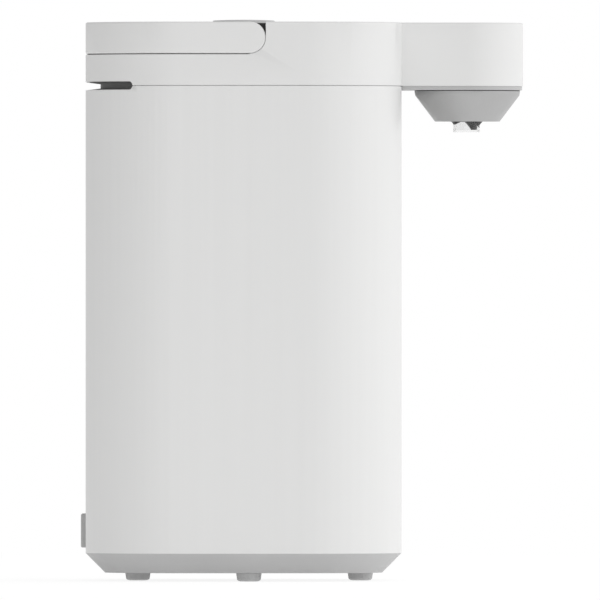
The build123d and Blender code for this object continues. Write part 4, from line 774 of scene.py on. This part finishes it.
class DISPENSER_OT_spout(Piece, bpy.types.Operator):
    """Finish the spout's cover plate, cone, tip, funnel and pipe"""

    bl_idname = "dispenser.spout"
    bl_label = "Spout"
    fine = (("spout_cover", "Plate moulding", 0.15), ("nozzle_cone", "Cone satin", 0.1))
    plain = (("spout_pipe", "Milky silicone"), ("riser_coupler", "Milky silicone"))

    tip_radius, tip_wall, tip_neck = mm(8.2, 1.3, 1.7)

    def add(self, detail):
        self.gap_ring()
        self.cup()
        self.collar()
        self.funnel()

    def gap_ring(self):
        """Painted shadow: a dark ring that fills the gap between the cone and the cover plate, where there
        is only shade.
        """
        middle, radius, _, _ = round_box("nozzle_cone")
        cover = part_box("spout_cover")[0].z
        gap, band, inside = mm(0.5, 6, 0.15)
        outer, low = radius - inside, cover - gap
        # The ring's dark finish is painted shadow in the gap.
        ring = lathe("cone_gap_ring", [
            (outer - band, low), (outer, low), (outer, cover), (outer - band, cover), (outer - band, low),
        ], "Dark moulding", steps=128, centre_x=middle)
        stand_in(ring, "nozzle_cone")

    def cup(self):
        """The clear cup of the tip."""
        middle, _, low, high = round_box("nozzle_tip")
        radius, inner = self.tip_radius, self.tip_radius - self.tip_wall
        floor, edge = low + 1.1 * MM, 0.2 * MM
        cup = lathe("nozzle_tip_cup", [
            (0.0, floor), (inner - edge, floor), (inner, floor + edge), (inner, high),
            (radius, high), (radius, low + edge), (radius - edge, low), (0.0, low),
        ], "Clear tip", steps=96, centre_x=middle)
        stand_in(cup, "nozzle_tip")

    def collar(self):
        """A dark flared collar round the cup's neck, thin at its sides and deep at its two ends."""
        middle, flare, _, high = round_box("nozzle_tip")
        drop, thin, plain = mm(2.6, 0.15, 3.6)
        steps, rows = 120, 8
        seat, radius = high - self.tip_neck, self.tip_radius
        inner = radius - self.tip_wall / 2
        rings = [(inner, 0.0), (inner, 1.0)]
        rings += [(radius + (flare - radius) * (1 - cos), 1 - sin) for cos, sin in quarter(rows)]

        work = bmesh.new()
        loops = [loop_of(work, steps, reach, seat, middle) for reach, _ in rings]
        for loop, (_, share) in zip(loops, rings):
            for vert in loop:
                end = max(0.0, (abs(vert.co.x - middle) - plain) / (flare - plain))
                vert.co.z -= share * (thin + (drop - thin) * end)
        skin(work, loops + loops[:1])
        made = settled(work, "nozzle_tip_collar", "Dark moulding")
        stand_in(made, "nozzle_tip")

    def funnel(self):
        """The black funnel: a trumpet that leans forward as it narrows, under the pipe's socket."""
        middle, socket, low, high = round_box("nozzle_funnel")
        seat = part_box("nozzle_tip")[1].z - self.tip_neck
        end, bore, mouth, neck, foot_shift, lean = mm(1.7, 1, 5.7, 3.8, 1.9, 0.2)
        pipe_bore, pipe_depth, passage, stand = mm(4.05, 6, 2.6, 2.3)
        rows, flare_power = 10, 1.3
        collar, pipe_end = seat + stand, high - pipe_depth
        rings = [(bore, low, foot_shift)]
        for i in range(rows + 1):
            part = i / rows
            reach = end + (mouth - end) * part ** flare_power
            rings.append((reach, low + (seat - low) * part, foot_shift - lean * part))
        rings += [(neck, seat), (neck, collar), (socket, collar), (socket, high), (pipe_bore, high)]
        rings += [(pipe_bore, pipe_end), (passage, pipe_end), (passage, seat), (bore, low, foot_shift)]
        made = lathe("nozzle_funnel_trumpet", rings, "Black moulding", centre_x=middle)
        stand_in(made, "nozzle_funnel")


class DISPENSER_OT_panel(Piece, bpy.types.Operator):
    """Finish the touch panel and print its keys and digits"""

    bl_idname = "dispenser.panel"
    bl_label = "Touch panel"
    fine = (("control_panel", "Smoked panel", 0.3), ("display_board", "Board lacquer", 0.2))

    key_inset, key_pitch, digits_inset, ink_rise = mm(20, 11, 18, 0.03)

    def add(self, detail):
        low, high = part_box("control_panel")
        level, ink = high.z + self.ink_rise, "Panel print"
        keys = [(high.x - self.key_inset, y, 0) for y in centred(detail.key_count, self.key_pitch)]
        self.rings(keys, high.z, level, ink)
        signs = [shape for index, (x, y, _) in enumerate(keys) for shape in self.sign(index % 4, x, y)]
        figures = self.digits(low.x + self.digits_inset, "95")
        for name, outlines in (("panel_marks", signs), ("panel_digits", figures)):
            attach(flat_shapes(name, outlines, level, ink), "body")

    def rings(self, keys, top, level, ink):
        """A printed ring for each touch key."""
        outer, inner, root = mm(4.2, 3.8, 0.1)
        ring = lathe("key_ring", [
            (outer, top - root), (outer, level), (inner, level), (inner, top - root), (outer, top - root),
        ], ink, steps=48)
        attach(scattered("panel_keys", ring, keys), "body")

    def sign(self, kind, x, y):
        """The outlines of a key's sign: a drop, a plus, a minus or a square."""
        if kind == 0:
            radius, point, steps = 1.25 * MM, 0.55, 28
            drop = []
            for i in range(steps):
                turn = math.tau * i / steps
                reach = radius * (1 + point * max(math.cos(turn), 0) ** 6)
                drop.append((x + reach * math.cos(turn), y + reach * math.sin(turn)))
            return [drop]
        long, thin, square = mm(3.4, 0.6, 2.4)
        strokes = {1: [(long, thin), (thin, long)], 2: [(thin, long)], 3: [(square, square)]}[kind]
        return [oblong(x, y, along, across) for along, across in strokes]

    def digits(self, x, figures):
        """The outlines of seven-stroke digits, read from the front, where up is towards the body."""
        lit = {"9": "abcdfg", "5": "acdfg"}
        wide, tall, stroke, pitch = mm(6, 11, 1.1, 9.5)
        flat = (stroke, wide - stroke * 1.4)
        upright = (tall / 2 - stroke * 1.2, stroke)
        strokes = {
            "a": (0, tall / 2, flat), "g": (0, 0, flat), "d": (0, -tall / 2, flat),
            "f": (-wide / 2, tall / 4, upright), "b": (wide / 2, tall / 4, upright),
            "c": (wide / 2, -tall / 4, upright),
        }
        outlines = []
        for figure, y in zip(figures, centred(len(figures), pitch)):
            for letter in lit[figure]:
                across, up, size = strokes[letter]
                outlines.append(oblong(x - up, y + across, *size))
        return outlines


class DISPENSER_OT_window(Piece, bpy.types.Operator):
    """Finish the level window and the riser behind it, and print the level marks"""

    bl_idname = "dispenser.window"
    bl_label = "Level window"
    fine = (("level_window", "Clear window", 0.4),)
    plain = (("riser_tube", "Clear window"),)

    def add(self, detail):
        """Marks beside the window's middle, every fifth one longer."""
        low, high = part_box("level_window")
        beside, ink_thickness, ink_height = mm(4.4, 0.06, 0.6)
        share, long_factor = 0.82, 1.7
        span = (high.z - low.z) * share
        start = (high.z + low.z - span) / 2
        ticks = baked("level_marks", "Level print", bars_on_points, {
            "Bar size": (ink_thickness, detail.tick_length, ink_height), "Long factor": long_factor,
        }, [
            (high.x, high.y + beside, start + span * i / (detail.tick_count - 1))
            for i in range(detail.tick_count)
        ])
        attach(ticks, "body")


class DISPENSER_OT_vent(Piece, bpy.types.Operator):
    """Finish the steam slot's insert and its duct"""

    bl_idname = "dispenser.vent"
    bl_label = "Steam vent"
    fine = (("vent_insert", "Slate moulding", 0.15),)
    plain = (("steam_duct", "Natural moulding"),)


class DISPENSER_OT_inlet(Piece, bpy.types.Operator):
    """Finish the power inlet"""

    bl_idname = "dispenser.inlet"
    bl_label = "Power inlet"
    fine = (("inlet_bezel", "Grey moulding", 0.3), ("inlet_socket", "Dark moulding", 0.3))
    plain = (("inlet_pins", "Nickel brass"),)


class DISPENSER_OT_feet(Piece, bpy.types.Operator):
    """Turn the rubber feet with tread rings, and set one on each place"""

    bl_idname = "dispenser.feet"
    bl_label = "Feet"

    def add(self, detail):
        middle, outer, _, top = round_box("feet")
        radius, taper, tread, round_height = mm(8.15, 0.8, 4.5, 1.5)
        drop, stud, edge, hub, groove = mm(5.2, 3, 0.3, 1.2, 0.35)
        round_steps = 10
        profile = [(0.0, 0.0), (hub, 0.0)]
        pitch = (tread - hub) / max(detail.foot_rings, 1)
        for ring in range(detail.foot_rings):
            for share, depth in ((0.25, 0.0), (0.35, groove), (0.6, groove), (0.7, 0.0)):
                profile.append((hub + (ring + share) * pitch, depth))
        profile.append((tread, 0.0))
        side = radius - taper
        for down, out in quarter(round_steps)[1:]:
            profile.append((tread + (side - tread) * out, round_height * (1 - down)))
        profile += [(radius - edge, drop - edge), (radius - 2 * edge, drop), (stud, drop)]
        profile += [(stud, top - edge), (stud - edge, top), (0.0, top)]
        foot = lathe("foot_shape", profile, "Foot rubber", steps=72)
        reach = outer - radius
        points = [(middle + reach, 0, 0), (middle - reach, 0, 0), (middle, reach, 0), (middle, -reach, 0)]
        stand_in(scattered("rubber_feet", foot, points, spread=math.tau), "feet")


class DISPENSER_OT_tank(Piece, bpy.types.Operator):
    """Finish the tank, its frame and its heating"""

    bl_idname = "dispenser.tank"
    bl_label = "Tank and heating"
    fine = (
        ("liner", "Drawn stainless", 0.2),
        ("liner_shoulder", "Drawn stainless", 0.2),
        ("support_frame", "Natural moulding", 0.4),
        ("heater_plate", "Cast aluminium", 0.4),
        ("thermostat", "Dark moulding", 0.3),
        ("heater_band", "Mica sleeve", 0.3),
    )
    plain = (("heater_element", "Plated steel"), ("temperature_sensor", "Plated steel"))


class DISPENSER_OT_pump(Piece, bpy.types.Operator):
    """Finish the pump, its motor and its hose"""

    bl_idname = "dispenser.pump"
    bl_label = "Pump"
    fine = (
        ("motor", "Motor can", 0.3),
        ("pump_housing", "Natural moulding", 0.3),
        ("pump_cover", "Natural moulding", 0.3),
        ("impeller", "Natural moulding", 0.2, "rotor"),
    )
    plain = (("motor_shaft", "Plated steel"), ("inlet_hose", "Milky silicone"))


class DISPENSER_OT_boards(Piece, bpy.types.Operator):
    """Finish the power board and set its small parts"""

    bl_idname = "dispenser.boards"
    bl_label = "Power board"
    fine = (("power_board", "Board lacquer", 0.3),)

    def add(self, detail):
        """A staggered row of small dark parts on the board."""
        low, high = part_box("power_board")
        count, long_factor = 6, 1.8
        pitch, stagger, start, inset, board = mm(4.2, 1.6, 6, 5, 1.6)
        length, width, height = mm(2.4, 1.4, 1.2)
        chips = baked("board_chips", "Dark moulding", bars_on_points, {
            "Bar size": (length, width, height), "Long factor": long_factor,
        }, [
            (low.x + start + i * pitch, high.y - inset + i % 2 * stagger, low.z + board + height / 2)
            for i in range(count)
        ])
        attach(chips, "body")


class DISPENSER_OT_screws(Piece, bpy.types.Operator):
    """Turn the screws with crossed slots and set them in their holes"""

    bl_idname = "dispenser.screws"
    bl_label = "Screws"

    def add(self, detail):
        """Each row: node, body, head and shank radius and head height in mm, and if the head is on top."""
        for node, body, *sizes, upright in (
            ("base_screws", "body", 4.0, 2.0, 3.0, False),
            ("pump_screws", "body", 2.8, 1.5, 1.8, True),
            ("board_screws", "body", 2.8, 1.5, 1.8, True),
            ("lid_screws", "lid", 3.4, 1.5, 1.8, False),
        ):
            head, shank, cap = mm(*sizes)
            low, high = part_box(node)
            screw = self.screw(head, shank, cap, high.z - low.z - cap, upright)
            points = [
                (x, y, high.z if upright else low.z)
                for x in (low.x + head, high.x - head)
                for y in (low.y + head, high.y - head)
            ]
            stand_in(scattered(node + "_set", screw, points, math.pi, 11), node, body)

    def screw(self, head, shank, cap, length, upright):
        """A pan head with a crossed slot and a threaded shank, with the head's face at the origin."""
        steps, fewest = 32, 3
        pitch, flank = mm(0.8, 0.2)
        face, rim, root, point, point_start = 0.97, 0.2, 0.84, 0.8, 0.985
        profile = [(head * face, 0.0), (head, cap * rim), (head, cap), (shank, cap)]
        turns = max(int(length / pitch), fewest)
        for i in range(turns):
            level = cap + length * (i + 0.5) / turns
            profile += [(shank * root, level - flank), (shank, level)]
        profile.append((shank * point, cap + length * point_start))
        work = bmesh.new()
        rings = [loop_of(work, steps, radius, level) for radius, level in profile]
        skin(work, rings)
        tip = work.verts.new((0, 0, cap + length))
        for pair in pairs(rings[-1]):
            work.faces.new((*pair, tip))
        self.recess(work, rings[0], head, cap)
        if upright:
            over = Matrix.Rotation(math.pi, 3, "X")
            bmesh.ops.rotate(work, verts=work.verts, cent=(0, 0, 0), matrix=over)
        return settled(work, "screw_shape", "Plated steel")

    def recess(self, work, rim, head, cap):
        """Closes the head with a face that has a crossed slot sunk in it."""
        half, width, depth, draft = head * 0.58, head * 0.13, cap * 0.45, 0.9
        arm = [(half, -width), (half, width), (width, width)]
        cross = []
        for _ in range(4):
            cross += arm
            arm = [(-y, x) for x, y in arm]
        upper = [work.verts.new((x, y, 0.0)) for x, y in cross]
        lower = [work.verts.new((x * draft, y * draft, depth)) for x, y in cross]
        skin(work, [upper, lower])
        work.faces.new(lower)
        edges = [work.edges.get(pair) for pair in pairs(rim) + pairs(upper)]
        bmesh.ops.triangle_fill(work, use_beauty=True, edges=edges)


# Studio

class DISPENSER_OT_stage(Piece, bpy.types.Operator):
    """Set the floor, the lamp, the surrounding light and the camera"""

    bl_idname = "dispenser.stage"
    bl_label = "Studio"

    def execute(self, context):
        scene, studio = context.scene, context.scene.dispenser_studio
        self.floor(studio)
        self.world(scene, studio)
        self.lamp(scene, studio)
        self.camera(scene, studio)
        scene.view_settings.view_transform = "Standard"
        return {"FINISHED"}

    def floor(self, studio):
        """A white floor: four fifths plain white to the camera, and the rest lit, for soft shadows."""
        side, plain, paint_tone, roughness = 3.2, 0.8, (0.95, 0.95, 0.95, 1), 0.9
        material = bpy.data.materials.new("Studio floor")
        material.use_nodes = True
        tree = material.node_tree
        shader = tree.nodes["Principled BSDF"]
        shader.inputs["Base Color"].default_value = paint_tone
        shader.inputs["Roughness"].default_value = roughness
        glow = wired(tree, "ShaderNodeEmission", {"Strength": studio.floor_light})["Emission"]
        lit = wired(tree, "ShaderNodeAddShader", {0: shader.outputs["BSDF"], 1: glow})["Shader"]
        white = wired(tree, "ShaderNodeEmission")["Emission"]
        seen = wired(tree, "ShaderNodeLightPath")["Is Camera Ray"]
        share = wired(tree, "ShaderNodeMath", {0: seen, 1: plain}, operation="MULTIPLY")["Value"]
        mixed = wired(tree, "ShaderNodeMixShader", {"Fac": share, 1: lit, 2: white})["Shader"]
        tree.links.new(mixed, tree.nodes["Material Output"].inputs["Surface"])
        flat_shapes("studio_floor", [oblong(0, 0, side, side)], 0, material.name)

    def world(self, scene, studio):
        """White to the camera and through clear parts, else brighter towards the spout's side."""
        scene.world = bpy.data.worlds.new("Studio light")
        scene.world.use_nodes = True
        tree = scene.world.node_tree
        tree.nodes.clear()
        direction = wired(tree, "ShaderNodeTexCoord")["Generated"]
        forward = wired(tree, "ShaderNodeSeparateXYZ", {"Vector": direction})["X"]
        strength = wired(tree, "ShaderNodeMapRange", {
            "Value": forward, "From Min": -1.0, "To Min": studio.dim_side, "To Max": studio.bright_side,
        })["Result"]
        white = {"Color": (1, 1, 1, 1)}
        soft = wired(tree, "ShaderNodeBackground", {**white, "Strength": strength})["Background"]
        plain = wired(tree, "ShaderNodeBackground", white)["Background"]
        path = wired(tree, "ShaderNodeLightPath")
        seen = wired(tree, "ShaderNodeMath", {
            0: path["Is Camera Ray"], 1: path["Is Transmission Ray"],
        }, operation="MAXIMUM")["Value"]
        mixed = wired(tree, "ShaderNodeMixShader", {"Fac": seen, 1: soft, 2: plain})["Shader"]
        wired(tree, "ShaderNodeOutputWorld", {"Surface": mixed})

    def lamp(self, scene, studio):
        """One large soft lamp beside the spout, for the shadow on the floor."""
        data = bpy.data.lights.new("Key lamp", "AREA")
        data.size = 1.2
        data.energy = studio.key_power
        lamp = bpy.data.objects.new("Key lamp", data)
        lamp.location = (1.6, -0.3, 0.4)
        aim = Vector((0, 0, CAD_BOX[1][2] / 2)) - lamp.location
        lamp.rotation_euler = aim.to_track_quat("-Z", "Y").to_euler()
        lamp.visible_camera = False
        scene.collection.objects.link(lamp)

    def camera(self, scene, studio):
        """A far camera square to the body's side."""
        data = bpy.data.cameras.new("Camera")
        data.lens = data.sensor_width * studio.distance / studio.frame_width
        data.clip_start = 1.0
        data.clip_end = 60.0
        camera = bpy.data.objects.new("Camera", data)
        camera.location = (studio.centre_x, -studio.distance, studio.centre_z)
        camera.rotation_euler = (math.pi / 2, 0, 0)
        scene.collection.objects.link(camera)
        scene.camera = camera


STEPS = (
    DISPENSER_OT_stage, DISPENSER_OT_body, DISPENSER_OT_handle, DISPENSER_OT_lid, DISPENSER_OT_button,
    DISPENSER_OT_spout, DISPENSER_OT_panel, DISPENSER_OT_window, DISPENSER_OT_vent, DISPENSER_OT_inlet,
    DISPENSER_OT_feet, DISPENSER_OT_tank, DISPENSER_OT_pump, DISPENSER_OT_boards, DISPENSER_OT_screws,
)
GROUPS = {
    "dispenser_finish": DispenserFinish,
    "dispenser_detail": DispenserDetail,
    "dispenser_studio": DispenserStudio,
}


class DISPENSER_PT_panel(bpy.types.Panel):
    """Steps and values of the dispenser"""

    bl_idname = "DISPENSER_PT_panel"
    bl_label = "Hot water dispenser"
    bl_space_type = "VIEW_3D"
    bl_region_type = "UI"
    bl_category = "Dispenser"

    def draw(self, context):
        for label in GROUPS:
            group = getattr(context.scene, label)
            box = self.layout.box()
            for value in group.__annotations__:
                box.prop(group, value)
        for step in STEPS:
            self.layout.operator(step.bl_idname)


CLASSES = (*GROUPS.values(), *STEPS, DISPENSER_PT_panel)


def register():
    for made in CLASSES:
        bpy.utils.register_class(made)
    for label, group in GROUPS.items():
        setattr(bpy.types.Scene, label, bpy.props.PointerProperty(type=group))


def unregister():
    for label in GROUPS:
        delattr(bpy.types.Scene, label)
    for made in reversed(CLASSES):
        bpy.utils.unregister_class(made)


def main():
    register()
    for step in STEPS:
        family, name = step.bl_idname.split(".")
        getattr(getattr(bpy.ops, family), name)()


if __name__ == "__main__":
    main()
